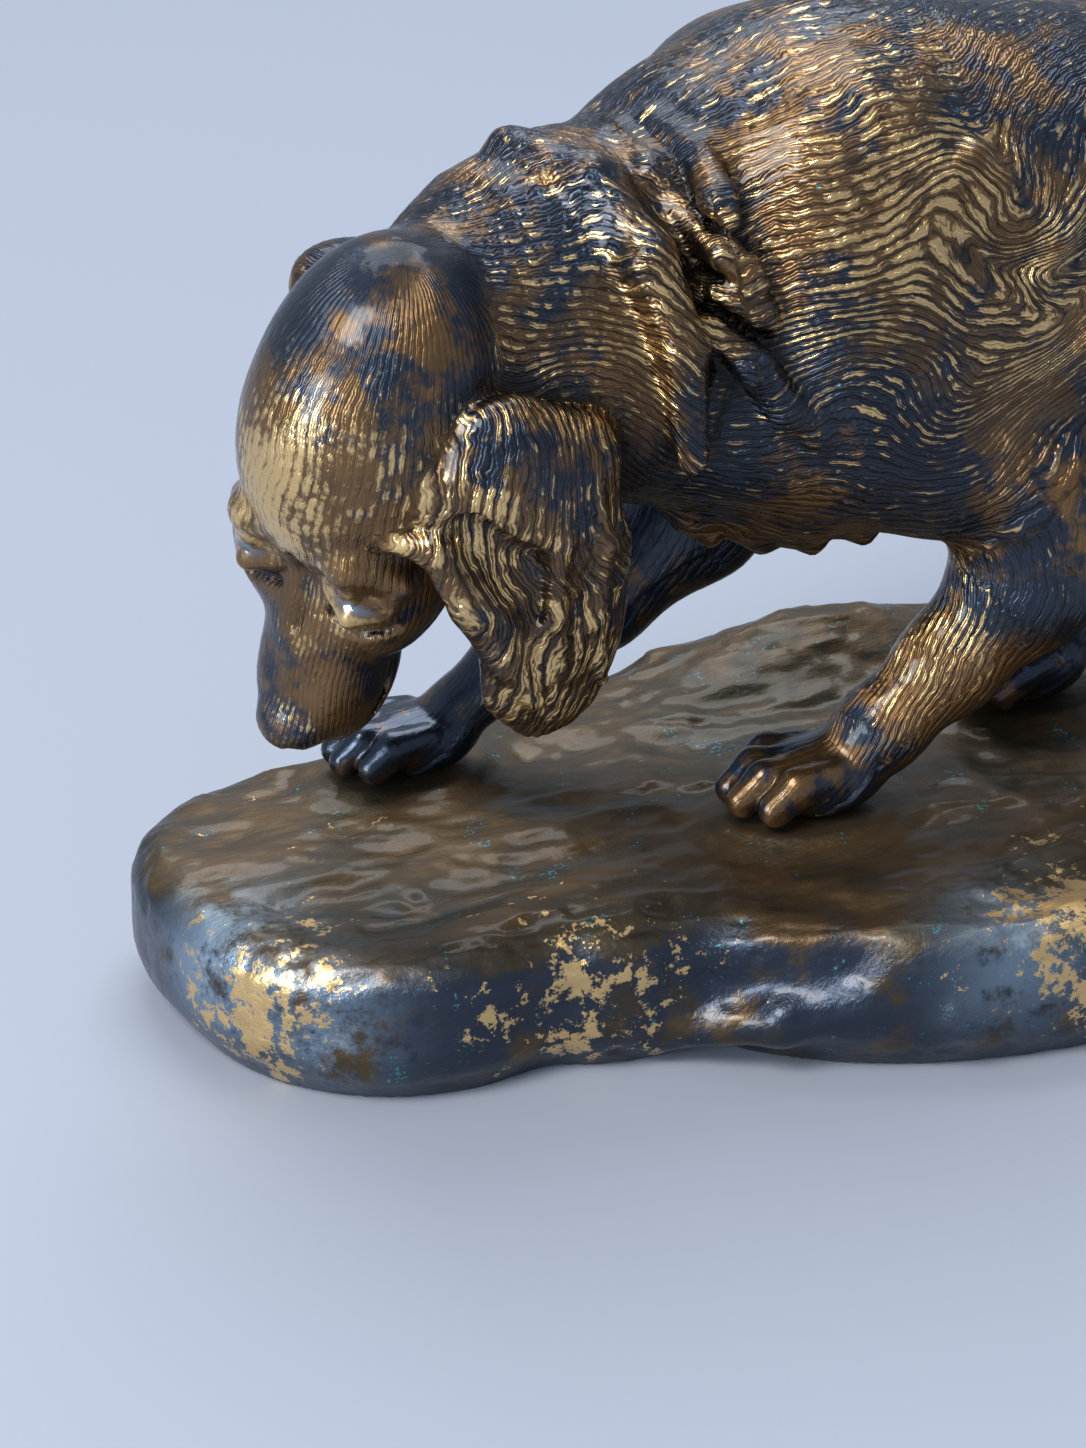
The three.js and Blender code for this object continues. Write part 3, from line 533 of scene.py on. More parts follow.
class Dog:
    """The dog's form and its chased hair."""

    CURLS = (((12.0, 76.0), 13.0, -0.9), ((-8.0, 74.0), 6.0, 2.2), ((1.5, 64.5), 7.0, -2.2),
             ((-15.0, 53.0), 10.0, 1.3), ((34.0, 62.0), 13.0, 1.5))

    EYE_PLACE = np.array([7.0, 0.5, -0.3])
    EYE_BARE = 3.2
    FAR_SIDE = 6.0
    FAR_DEPTH = 0.6
    LOOSE = 4.0

    def __init__(self) -> None:
        """Lays out the limbs, the trunk, the ears and the large locks."""
        self.head = Head()
        self.head_boxed = within((-100, -34, 8), (-48, 18, 82), self.head)
        self.near_flap = Chain([(-68, -18.5, 49, 4, 6), (-62.5, -20.5, 53.5, 3.2, 6.6),
                                (-58, -20.5, 49, 2.8, 8.6),
                                (-57, -19.5, 38, 2.6, 8.8), (-56, -18, 28, 2.4, 7.6),
                                (-55, -17, 23, 2.2, 5.8)],
                               (0.25, -0.95, 0.1), 3)
        self.near_roll = lock([(-75, -17.6, 45.6), (-70.5, -20.4, 44.6), (-67, -21.8, 38),
                               (-63.2, -21.6, 31),
                               (-59.8, -21.4, 25.6)], 2.4)
        self.near_hollow = Chain([(-68, -23.4, 46.5, 2, 3), (-62.5, -24, 41, 2.2, 3),
                                  (-59, -23.2, 33, 1.4, 2.2)],
                                 (0.25, -0.95, 0.1), 2)
        self.ear_locks = [
            lock([(-62, -23.6, 52), (-57.4, -23, 44), (-58, -22.2, 35), (-56, -20.6, 27)], 1.3),
            lock([(-54.6, -22, 51), (-51.4, -21.4, 42), (-52.4, -20.4, 33), (-50.6, -19, 25)], 1.3),
            lock([(-59.6, -22, 34), (-58, -20.8, 28), (-56.4, -19.6, 22)], 1.1),
        ]
        self.far_flap = Chain([(-70, 2, 60, 3, 5), (-67.5, 6, 64, 3, 6.5), (-64, 9.5, 58, 2.6, 8.5),
                               (-62.5, 11, 47, 2.4, 8.5), (-62, 11.5, 37, 2.4, 7.5),
                               (-62, 11, 30, 2.2, 5.5)],
                              (0.3, 0.9, 0.1), 3)
        self.near_ear = within((-80, -27, 12), (-42, -10, 66), self._near_ear)
        self.far_ear = within((-80, -4, 22), (-52, 22, 74), self.far_flap)
        self.bones = {name: Chain(rows, k=3) for name, rows in LEG_BONES.items()}
        self.feet = {name: paw.field() for name, paw in PAWS.items()}
        self.leg = {name: within(*LEG_BOXES[name], self._leg(name)) for name in LEG_BONES}
        self.barrel = Chain([(-31, 0, 61, 18, 22.5), (-19, 0, 60.5, 21.5, 28), (-4, 0, 60, 22, 27),
                             (14, 0, 60, 20, 24), (32, 0, 61.5, 17, 20.5), (48, 0, 62, 17, 19)], k=6)
        tilt = np.stack([unit((1, 0, 0.25)), np.array([0.0, 1, 0]), unit((-0.25, 0, 1))])
        self.blade = blob((-17, 12.5, 62), (14.5, 11, 23), tilt)
        self.arm = Chain([(-30, 12, 50, 8, 10), (-8, 13.5, 41, 7.6, 8.6), (6, 14.5, 36, 7.4, 8.6)], k=3)
        self.haunch = blob((48, 10, 58), (15, 9.5, 19))
        self.brisket = Chain([(-36, -3, 46, 9, 9), (-22, -3, 37, 8, 6), (-8, -4, 35.5, 7, 5)], k=3)
        self.trunk = within((-50, -28, 20), (70, 28, 96), self._trunk)
        self.neck_core = Chain([(-66, -6, 56, 9.5, 12.5), (-60, -4.5, 57.5, 11.5, 15.5),
                                (-54, -3, 59, 13.5, 18.4),
                                (-47, -2, 59.5, 16, 20), (-41, -2, 59, 17.5, 20.5)], k=3)
        self.ruff = lock([(-53, 0, 79.2), (-48, -9.4, 77.6), (-45, -17.6, 71), (-42.6, -21, 62),
                          (-41, -20.4, 49)], 3.0)
        self.neck = within((-86, -28, 36), (-18, 22, 90),
                           lambda p: soft_union(self.neck_core(p), self.ruff(p), 2.6))
        self.tail_chain = Chain([(58, 0, 72, 6, 6), (68, 1, 70, 4.5, 5), (80, 3, 64, 3, 5.5),
                                 (90, 6, 60, 1.8, 4)])
        self.tail = within((50, -12, 50), (98, 14, 84), self.tail_chain)
        swirls = [
            lock([(-41, -3, 79.8), (-40.9, -9.6, 77.2), (-39, -13.8, 73.6), (-38.7, -18.2, 72)], 2.1),
            lock([(-38.5, -4, 80.8), (-36, -10.2, 78.6), (-37, -17.2, 76.2), (-36.7, -19.2, 74.4)], 2.2),
            lock([(-39.4, -15.2, 71.4), (-37.7, -19.6, 71.4), (-35.2, -20.8, 69),
                  (-34.3, -21.6, 67.8)], 1.9),
            lock([(-38.4, -19.6, 67.1), (-35.9, -20.4, 66.4), (-33.9, -20.8, 64.7),
                  (-32.1, -20.2, 62.9)], 1.9),
            lock([(-39.4, -20.7, 63.8), (-34.8, -21.6, 59.1), (-30, -20.4, 53), (-25.8, -20.4, 49)], 2.3),
            lock([(-11.3, -20.2, 75.6), (-8.3, -19.2, 76.9), (-5.6, -20, 74.2), (-8, -21, 71.4)], 1.9),
            lock([(5, -20.1, 70.8), (1.3, -21.4, 67.4), (-2, -22.4, 62.7), (1.3, -21.9, 60.2)], 1.9),
        ]
        self.swirls = within((-46, -28, 44), (8, 2, 86), nearest(swirls))
        feathers = []
        count = 6
        for i in range(count):
            x, y = -34 + i * 6.2, -5.5 - 0.4 * i
            z = 36 - 5.2 * math.sin(math.pi * (i + 1) / (count + 1))
            feathers.append(lock([(x - 3, y, z + 7), (x, y - 0.5, z + 2), (x + 3, y, z - 1.5)], 1.9))
        self.feathers = within((-42, -16, 20), (4, 4, 46), nearest(feathers))
        self.coats = self._coats()

    def _near_ear(self, p: Array) -> Array:
        """The near ear: a hollowed flap with a rolled front edge and its locks."""
        d = soft_cut(self.near_flap(p), -self.near_hollow(p), 1.0)
        d = soft_union(d, self.near_roll(p), 0.5)
        for one in self.ear_locks:
            d = soft_union(d, one(p), 0.6)
        return d

    def _leg(self, name: str) -> Field:
        """The field of a leg and its foot, by the leg's name."""
        bones, foot = self.bones[name], self.feet[name]
        return lambda p: soft_union(bones(p), foot(p), 1.6)

    def _trunk(self, p: Array) -> Array:
        """The barrel with the shoulder blades, upper arms, haunches and brisket."""
        both = mirrored(p, 1)
        d = soft_union(self.barrel(p), self.blade(both), 5)
        d = soft_union(d, self.arm(both), 4)
        d = soft_union(d, self.haunch(both), 6)
        return soft_union(d, self.brisket(p), 4)

    def form(self, p: Array) -> Array:
        """The dog without its soles' cut or its fine hair."""
        d = soft_union(self.trunk(p), self.neck(p), 2)
        d = soft_union(d, self.swirls(p), 1.2)
        d = soft_union(d, self.feathers(p), 2.4)
        d = soft_union(d, np.minimum.reduce([leg(p) for leg in self.leg.values()]), 5)
        d = soft_union(d, self.head_boxed(p), 2.4)
        d = soft_union(d, self.near_ear(p), 1.2)
        d = soft_union(d, self.far_ear(p), 1.2)
        return soft_union(d, self.tail(p), 3)

    def __call__(self, p: Array) -> Array:
        """Distance from the whole dog, with its soles cut flat over the joint's gap."""
        return np.maximum(self.form(p), JOINT_GAP / UNIT - p[:, 2])

    def _trunk_coords(self, p: Array) -> tuple[Array, Array]:
        """The length along the trunk's hair and across it, turned about the curls."""
        x, z = p[:, 0].copy(), p[:, 2].copy()
        for (cx, cz), reach, turn in self.CURLS:
            dx, dz = x - cx, z - cz
            angle = turn * np.exp(-(dx**2 + dz**2) / reach**2)
            ca, sa = np.cos(angle), np.sin(angle)
            x, z = cx + dx * ca - dz * sa, cz + dx * sa + dz * ca
        turned = np.arctan2(p[:, 1], z - 58)
        across = 24 * turned + 0.2 * x * np.sign(p[:, 1]) + 2.2 * np.sin((x + 26) / 9)
        return x, across

    def _coats(self) -> list[Coat]:
        """How the hair lies on every region, as one row a region."""
        def round_chain(chain: Chain, radius: float, slant: float = 0.0) -> Callable[[Array], tuple]:
            def coords(p: Array) -> tuple[Array, Array]:
                s, a = chain.coords(p)
                return s, a * radius + slant * s

            return coords

        def head_coords(p: Array) -> tuple[Array, Array]:
            q = self.head.local(p)
            return q[:, 2], 11 * np.arctan2(q[:, 0], q[:, 1] + 9)

        def neck_coords(p: Array) -> tuple[Array, Array]:
            turned = np.arctan2(p[:, 1] + 3, p[:, 2] - 57)
            return p[:, 0], 17 * turned + 0.4 * p[:, 0] + 1.3 * np.sin(p[:, 0] / 3.5)

        def ear_coords(p: Array) -> tuple[Array, Array]:
            flare = 1 + 0.014 * (52 - p[:, 2])
            across = (0.97 * (p[:, 0] + 58) + 0.25 * (p[:, 1] + 20)) / flare
            return -p[:, 2], across + 1.5 * np.sin(p[:, 2] / 6.5)

        coats = [
            Coat(self.trunk, self._trunk_coords, 1.12, 0.36, 5.5, 2.2),
            Coat(self.neck, neck_coords, 1.1, 0.36, 3.2, 2.4),
            Coat(self.head_boxed, head_coords, 0.8, 0.1, 3.0, 1.2),
            Coat(self.near_ear, ear_coords, 1.25, 0.42, 6.0, 2.2),
            Coat(self.far_ear, ear_coords, 1.25, 0.36, 6.0, 2.2),
            Coat(self.tail, round_chain(self.tail_chain, 5, 0.4), 1.2, 0.32, 6.0),
        ]
        for name, chain in self.bones.items():
            coats.append(Coat(self.leg[name], round_chain(chain, 6, 0.4), 1.0, 0.22, 5.0, 1.2))
        return coats

    def hair(self, p: Array) -> tuple[Array, Array, Array, Array]:
        """The hair at points on the form.

        Returns:
            The height from 0 in a groove to 1 on a crest, the depth of the grooves, the length along
            the hair and the row of it across.
        """
        reach = [coat.near(p) for coat in self.coats]
        least = np.minimum.reduce(reach)
        height, depth, total = np.zeros(len(p)), np.zeros(len(p)), np.zeros(len(p))
        along_out, row_out, best = np.zeros(len(p)), np.zeros(len(p)), np.full(len(p), -1.0)
        wander = noise3(p, 6.0) - 0.5
        for coat, d in zip(self.coats, reach):
            near = d < least + self.LOOSE
            if not near.any():
                continue
            weight = np.exp(-(d[near] - least[near]) / 0.8)
            along, across = coat.coords(p[near])
            row = across / coat.period + coat.sway * wander[near]
            wave = np.abs(np.sin(math.pi * row)) ** 0.75
            cell = np.floor(row)
            broken = noise2(along / coat.run + 7.7 * cell, cell * 3.1)
            fine = np.abs(np.sin(math.pi * (row * 2.6 + 1.5 * noise2(along / 4, across / 3))))
            one = wave * (0.45 + 0.55 * broken) * 0.82 + 0.18 * fine
            clump = noise2(along / (coat.run * 1.6), across / (coat.period * 3.6))
            one = np.clip(0.78 * one + 0.3 * clump, 0, 1)
            height[near] += weight * one
            depth[near] += weight * coat.depth
            total[near] += weight
            won = weight > best[near]
            where = np.flatnonzero(near)[won]
            along_out[where], row_out[where] = along[won] / coat.run, row[won]
            best[where] = weight[won]
        height, depth = height / total, depth / total
        bare = np.minimum.reduce([self.feet[name](p) for name in self.feet])
        depth *= 0.2 + 0.8 * np.clip((bare - 0.4) / 3, 0, 1)
        q = mirrored(self.head.local(p), 0)
        eyes = np.linalg.norm(q - self.EYE_PLACE, axis=1)
        depth *= np.clip((eyes - self.EYE_BARE) / 1.5, 0, 1)
        depth *= np.where(p[:, 1] > self.FAR_SIDE, self.FAR_DEPTH, 1.0)
        return height, depth, along_out, row_out


# The ground
def oval(x: Array, y: Array, cx: float, cy: float, rx: float, ry: float) -> Array:
    """Distance from an oval in plan."""
    k0 = np.hypot((x - cx) / rx, (y - cy) / ry)
    k1 = np.hypot((x - cx) / rx**2, (y - cy) / ry**2) + 1e-9
    return k0 * (k0 - 1) / k1


def hump(x: Array, y: Array, cx: float, cy: float, rx: float, ry: float) -> Array:
    """A soft swell, 1 high in its middle."""
    return np.exp(-(((x - cx) / rx) ** 2) - ((y - cy) / ry) ** 2)


class Ground:
    """The uneven ground: a rounded tongue under the head, a long body and a lobe on the near side."""

    EDGE_ROUND = 11.0
    FOOT_INSET = 7.0
    FOOT_RISE = 13.0
    MOUND_RISE = 11.0
    WAVE_RISE = 0.9
    PAD_MARGIN = 1.12

    def __init__(self) -> None:
        """Lays out the ledges and the hollow of the wall."""
        r = 4.2
        self.ledge = Chain([(-86, -50, 7, 3, 4), (-66, -64, 12, r, 5), (-50, -71, 16, r, 5),
                            (-38, -71, 24, r, 4.4),
                            (-24, -64, 30, 3.6, 3.8), (8, -54, 32, 3, 3)], k=4)
        self.second = Chain([(-34, -79, 13, 3.4, 4), (-18, -80, 22, 4, 4.4), (6, -78, 28, 3.8, 4),
                             (40, -70, 29.5, 3.6, 3.6), (72, -58, 30, 3, 3)], k=4)
        self.hollow = Chain([(-78, -66, 20, 6, 8), (-58, -76, 29, 6.5, 8)], k=4)
        self.far = Chain([(88, 52, 8, 3.4, 4), (52, 61, 18, 4, 5), (10, 62, 27, 4, 4),
                          (-36, 55, 31, 3.2, 3.4)], k=4)
        self.end = Chain([(158, 22, 6, 3.4, 4), (160, -6, 16, 4, 4.6), (138, -32, 27, 3.8, 4),
                          (104, -46, 31, 3, 3)],
                         (0, 0, 1), 4)

    @staticmethod
    def plan(x: Array, y: Array) -> Array:
        """Distance from the outline seen from above."""
        d = oval(x, y, 36 - END, 12, 36, 36)
        d = soft_union(d, oval(x, y, 50 - END, -1, 49, 49), 4)
        d = soft_union(d, oval(x, y, 84 - END, -8, 40, 46), 6)
        d = soft_union(d, oval(x, y, -30, 6, 110, 54), 12)
        d = soft_union(d, oval(x, y, 4, -24, 91, 63), 8)
        return soft_union(d, oval(x, y, END - 108, -2, 108, 58), 14)

    @staticmethod
    def pad_reach(x: Array, y: Array) -> Array:
        """How far a place is from the nearest pad: 1 on its rim, less inside."""
        out = np.full(len(x), 9.0)
        for paw in PAWS.values():
            reach = paw.size * UNIT
            cx = paw.x * UNIT + math.cos(paw.yaw) * reach
            cy = paw.y * UNIT + math.sin(paw.yaw) * reach
            a = (x - cx) * math.cos(paw.yaw) + (y - cy) * math.sin(paw.yaw)
            b = -(x - cx) * math.sin(paw.yaw) + (y - cy) * math.cos(paw.yaw)
            grow = reach * Ground.PAD_MARGIN
            out = np.minimum(out, np.hypot(a / (Paw.HALF[0] * grow), b / (Paw.HALF[1] * grow)))
        return out

    def terrain(self, x: Array, y: Array) -> Array:
        """Height of the open ground."""
        ripple = np.sin(x * 0.061 + y * 0.043) * np.sin(y * 0.102 - x * 0.021 + 0.8)
        z = GROUND_TOP + self.WAVE_RISE * ripple
        z = z + self.MOUND_RISE * hump(x, y, -2, 44, 30, 15)
        z = z + 3.4 * hump(x, y, 50, -46, 30, 12)
        z = z + 2.2 * hump(x, y, 118, 18, 34, 24)
        z = z - 1.8 * hump(x, y, -149, 17, 8, 5)
        z = z - 1.6 * hump(x, y, -150, -10, 9, 4)
        z = z - 1.2 * hump(x, y, -128, -26, 14, 6)
        pad = self.pad_reach(x, y)
        near = np.clip((1.7 - pad) / 0.6, 0, 1)
        z = z * (1 - near) + np.minimum(z, SEAT_HEIGHT - 0.9) * near
        rim = np.clip((1.1 - pad) / 0.1, 0, 1)
        return z * (1 - rim) + SEAT_HEIGHT * rim

    def __call__(self, p: Array) -> Array:
        """Distance from the ground, in millimetres."""
        x, y, z = p[:, 0], p[:, 1], p[:, 2]
        tuck = self.FOOT_INSET * np.clip(1 - z / self.FOOT_RISE, 0, 1) ** 2
        d = soft_cut(self.plan(x, y) + tuck, z - self.terrain(x, y), self.EDGE_ROUND)
        d = soft_cut(d, -self.hollow(p), 7)
        d = soft_union(d, np.minimum(self.ledge(p), self.second(p)), 4)
        d = soft_union(d, np.minimum(self.far(p), self.end(p)), 5)
        return np.maximum(d, -z)

    def relief(self, p: Array) -> Array:
        """Small unevenness of the casting, in millimetres, inward."""
        x, y, z = p[:, 0], p[:, 1], p[:, 2]
        top = np.clip((z - 26) / 6, 0, 1)
        flow = np.stack([x * 0.45 + y * 0.2, y, z], 1)
        trail = billow(flow, 9, 3)
        lumps = billow(p, 16, 3)
        pits = np.clip(billow(p + 40, 5, 2) - 0.62, 0, 1) * 3
        pad = np.clip((self.pad_reach(x, y) - 1.15) / 0.3, 0, 1)
        ridge = np.abs(2 * trail - 1) * 2.4
        out = (1.2 * (1 - trail) + 1.1 * np.clip(ridge, 0, 1)) * top + 1.3 * (1 - lumps) + pits * 0.8
        return -out * (0.08 + 0.92 * pad)


# Shaders
class Value:
    """A shader socket with arithmetic."""

    def __init__(self, tree: bpy.types.NodeTree, socket: bpy.types.NodeSocket) -> None:
        """Keeps a socket of that tree."""
        self.tree = tree
        self.socket = socket

    def node(self, kind: str, inputs: dict, output: object = 0, **settings: object) -> "Value":
        """Makes any node.

        Args:
            kind: its type.
            inputs: values or sockets by input name or number.
            output: the output to give back.
            settings: the node's own properties.

        Returns:
            That output.
        """
        made = self.tree.nodes.new(kind)
        for key, value in settings.items():
            setattr(made, key, value)
        for key, value in inputs.items():
            if isinstance(value, Value):
                self.tree.links.new(value.socket, made.inputs[key])
            else:
                made.inputs[key].default_value = value
        return Value(self.tree, made.outputs[output])

    def _math(self, operation: str, *values: object) -> "Value":
        """A Math node of that operation on these values."""
        return self.node("ShaderNodeMath", dict(enumerate(values)), operation=operation)

    def __add__(self, other: object) -> "Value":
        return self._math("ADD", self, other)

    __radd__ = __add__

    def __mul__(self, other: object) -> "Value":
        return self._math("MULTIPLY", self, other)

    __rmul__ = __mul__

    def __sub__(self, other: object) -> "Value":
        return self._math("SUBTRACT", self, other)

    def __rsub__(self, other: object) -> "Value":
        return self._math("SUBTRACT", other, self)

    def __pow__(self, other: object) -> "Value":
        return self._math("POWER", self, other)

    def sine(self) -> "Value":
        """Its sine."""
        return self._math("SINE", self)

    def whole(self) -> "Value":
        """The whole number below it."""
        return self._math("FLOOR", self)

    def __abs__(self) -> "Value":
        return self._math("ABSOLUTE", self)

    def axis(self, index: int) -> "Value":
        """One of a vector's three numbers."""
        return self.node("ShaderNodeSeparateXYZ", {0: self}, index)

    def step(self, low: float, high: float) -> "Value":
        """Smooth step from 0 at low to 1 at high."""
        inputs = {0: self, 1: low, 2: high, 3: 0.0, 4: 1.0}
        return self.node("ShaderNodeMapRange", inputs, interpolation_type="SMOOTHSTEP")

    def blend(self, low: object, high: object) -> "Value":
        """The colour low where this is 0 and high where it is 1."""
        return self.node("ShaderNodeMix", {0: self, 6: low, 7: high}, 2, data_type="RGBA")


class Tree:
    """A material's nodes, with the few sources that the bronze uses."""

    def __init__(self, name: str) -> None:
        """Starts an empty material with its object coordinates."""
        self.material = bpy.data.materials.new(name)
        self.material.use_nodes = True
        self.tree = self.material.node_tree
        self.tree.nodes.clear()
        self.any = Value(self.tree, None)
        self.place = self.any.node("ShaderNodeTexCoord", {}, "Object")

    def attribute(self, name: str, output: str = "Fac") -> Value:
        """A mesh attribute."""
        return self.any.node("ShaderNodeAttribute", {}, output, attribute_name=name)

    def noise(
        self, scale: float, detail: float = 3.0, where: Optional[Value] = None, rough: float = 0.55
    ) -> Value:
        """Noise over the surface, about 0.5 in its middle."""
        inputs = {"Vector": where or self.place, "Scale": scale, "Detail": detail, "Roughness": rough}
        return self.any.node("ShaderNodeTexNoise", inputs, "Fac")

    def finish(self, inputs: dict) -> bpy.types.Material:
        """Connects a principled surface with those inputs."""
        surface = self.any.node("ShaderNodeBsdfPrincipled", inputs, "BSDF")
        out = self.tree.nodes.new("ShaderNodeOutputMaterial")
        self.tree.links.new(surface.socket, out.inputs["Surface"])
        return self.material


def rgb(r: float, g: float, b: float) -> tuple:
    """A colour with full cover."""
    return (r, g, b, 1.0)


@dataclass(frozen=True)
class Patina:
    """Colours and gloss of the patinated bronze, with the colours of its painted shade, glint and sheen."""

    brown: tuple = rgb(0.12, 0.072, 0.034)
    rust: tuple = rgb(0.2, 0.108, 0.042)
    navy: tuple = rgb(0.026, 0.036, 0.056)
    gold: tuple = rgb(0.74, 0.5, 0.22)
    # Near black: dark patina in the grooves and hollows, and painted shade there as well.
    groove: tuple = rgb(0.012, 0.01, 0.01)
    verdigris: tuple = rgb(0.06, 0.3, 0.34)
    # Painted glint: a blue-grey that stands in for the light reflected on the eyeballs.
    eye: tuple = rgb(0.2, 0.26, 0.33)
    olive: tuple = rgb(0.055, 0.044, 0.026)
    earth: tuple = rgb(0.105, 0.064, 0.028)
    # Painted sheen: a pale steel blue that stands in for the bluish reflection of light on the ground.
    sheen_blue: tuple = rgb(0.3, 0.41, 0.52)
    rough: float = 0.3
    gold_rough: float = 0.25


def strands(t: Tree) -> tuple[Value, Value]:
    """The chased hair, row by row.

    Args:
        t: the material.

    Returns:
        The height from 0 in a groove to 1 on a crest, and how deep the hair is cut.
    """
    lie = t.attribute("lie", "Vector")
    along, row, depth = lie.axis(0), lie.axis(1), lie.axis(2)
    row = row + t.noise(240, 2) * 0.9
    tuft = t.any.node("ShaderNodeCombineXYZ", {0: along * 1.8, 1: row.whole() * 3.7}, 0)
    broken = t.noise(1.0, 2, where=tuft).step(0.3, 0.66)
    main = abs((row * math.pi).sine()) ** 0.8
    fine = abs((row * (2.7 * math.pi) + broken * 3).sine()) ** 0.8
    height = main * (broken * 0.65 + 0.35) * 0.78 + fine * 0.22
    return height, depth


def dog_bronze(patina: Patina) -> bpy.types.Material:
    """Brown and blue-black bronze with gold rubbed on the raised hair, dark patina and painted shade in the
    hollows, and a painted glint on the eyes.
    """
    t = Tree("dog_bronze")
    wear = t.attribute("wear")
    open_to_light = t.attribute("open")
    eye = t.attribute("eye")
    hair, depth = strands(t)
    hair = hair * depth + (1 - depth) * 0.62
    broad = t.noise(34, 4)
    patch = t.noise(90, 5, rough=0.68)
    fleck = t.noise(430, 4, rough=0.7)
    colour = broad.step(0.4, 0.6).blend(patina.brown, patina.rust)
    colour = (patch * 0.75 + broad * -0.55 + wear * -0.22 + 0.32).step(0.3, 0.42).blend(colour, patina.navy)
    worn = hair * 0.75 + wear * 0.4 + patch * 0.6 + fleck * 0.35 - 1.14
    gold = worn.step(0.0, 0.14)
    colour = gold.blend(colour, patina.gold)
    # Dark patina and painted shade: the hair's grooves and the places closed in by the form are darkened
    # toward near black.
    hollow_patina_and_shade = (hair.step(0.08, 0.5) * 0.88 + 0.12) * (open_to_light.step(0.05, 0.75) * 0.88 + 0.12)
    colour = hollow_patina_and_shade.blend(patina.groove, colour)
    speck = (t.noise(900, 2) * 0.6 + t.noise(160, 3) * 0.6).step(0.8, 0.83)
    colour = (speck * 0.7).blend(colour, patina.verdigris)
    # Painted glint: the eyeballs are tinted blue-grey for the reflection of light on them.
    colour = eye.blend(colour, patina.eye)
    rough = t.noise(260, 3) * 0.2 + (1 - gold) * (patina.rough - patina.gold_rough) + patina.gold_rough - 0.1
    rough = rough * (1 - eye * 0.7)
    relief = hair + t.noise(700, 2) * 0.12
    bump = t.any.node("ShaderNodeBump", {"Strength": 0.9, "Distance": 0.0009, "Height": relief}, "Normal")
    return t.finish({
        "Base Color": colour, "Roughness": rough, "Metallic": gold * 0.12 + 0.86, "Normal": bump,
        "Coat Weight": 0.3, "Coat Roughness": 0.12, "Specular IOR Level": 0.6,
    })


def ground_bronze(patina: Patina) -> bpy.types.Material:
    """Blue-black and brown bronze with worn gold flakes on the wall, a painted blue sheen, and dark patina
    with painted shade in the low places.
    """
    t = Tree("ground_bronze")
    low = t.attribute("low")
    wear = t.attribute("wear")
    wall = t.attribute("wall")
    broad = t.noise(26, 4)
    patch = t.noise(60, 5, rough=0.66)
    fleck = t.noise(230, 4, rough=0.75)
    streak = t.any.node("ShaderNodeMapping", {"Vector": t.place, "Scale": (0.35, 1.0, 1.0)}, 0)
    trail = t.noise(120, 4, where=streak, rough=0.65)
    colour = (trail * 0.6 + broad * 0.5).step(0.46, 0.66).blend(patina.olive, patina.earth)
    blue = (patch * 0.75 + wall * 0.17 + wear * -0.05 - 0.02).step(0.38, 0.5)
    colour = (blue * (wall * 0.75 + 0.25)).blend(colour, patina.navy)
    # Painted sheen: the pale blue reflection of the light is painted in patches on the near bulge and the
    # wall.
    pale = t.attribute("pale") * (patch * 0.8 + fleck * 0.5).step(0.5, 0.66)
    colour = pale.blend(colour, patina.sheen_blue)
    gold = (patch * 0.5 + fleck * 0.75 + trail * 0.2 + wear * 0.3 - 0.955).step(0.0, 0.05)
    colour = gold.blend(colour, patina.gold)
    # Dark patina and painted shade: the low places of the relief are darkened toward near black.
    colour = (low.step(0.1, 0.65) * 0.7 + 0.3).blend(patina.groove, colour)
    speck = (t.noise(1300, 2) * 0.6 + t.noise(120, 3) * 0.6).step(0.76, 0.8)
    colour = (speck * 0.7).blend(colour, patina.verdigris)
    rough = t.noise(200, 3) * 0.25 + (1 - gold) * 0.06 + (1 - wall) * 0.2 + 0.18
    relief = fleck * 0.5 + trail
    bump = t.any.node("ShaderNodeBump", {"Strength": 0.6, "Distance": 0.0011, "Height": relief}, "Normal")
    return t.finish({
        "Base Color": colour, "Roughness": rough, "Metallic": gold * 0.15 + 0.8, "Normal": bump,
        "Coat Weight": 0.25, "Coat Roughness": 0.16, "Specular IOR Level": 0.6,
    })


# Pieces
class Node(Enum):
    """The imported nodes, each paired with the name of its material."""

    DOG = ("spaniel", "dog_bronze")
    GROUND = ("terrain_base", "ground_bronze")


@dataclass(frozen=True)
class Detail:
    """How finely a casting is made.

    Attributes:
        step: sampling of the field.
        facets: the most triangles it may have.
    """

    step: float
    facets: int


DOG_DETAIL = {False: Detail(0.78, 190000), True: Detail(1.1, 90000)}
GROUND_DETAIL = {False: Detail(2.5, 170000), True: Detail(3.6, 60000)}


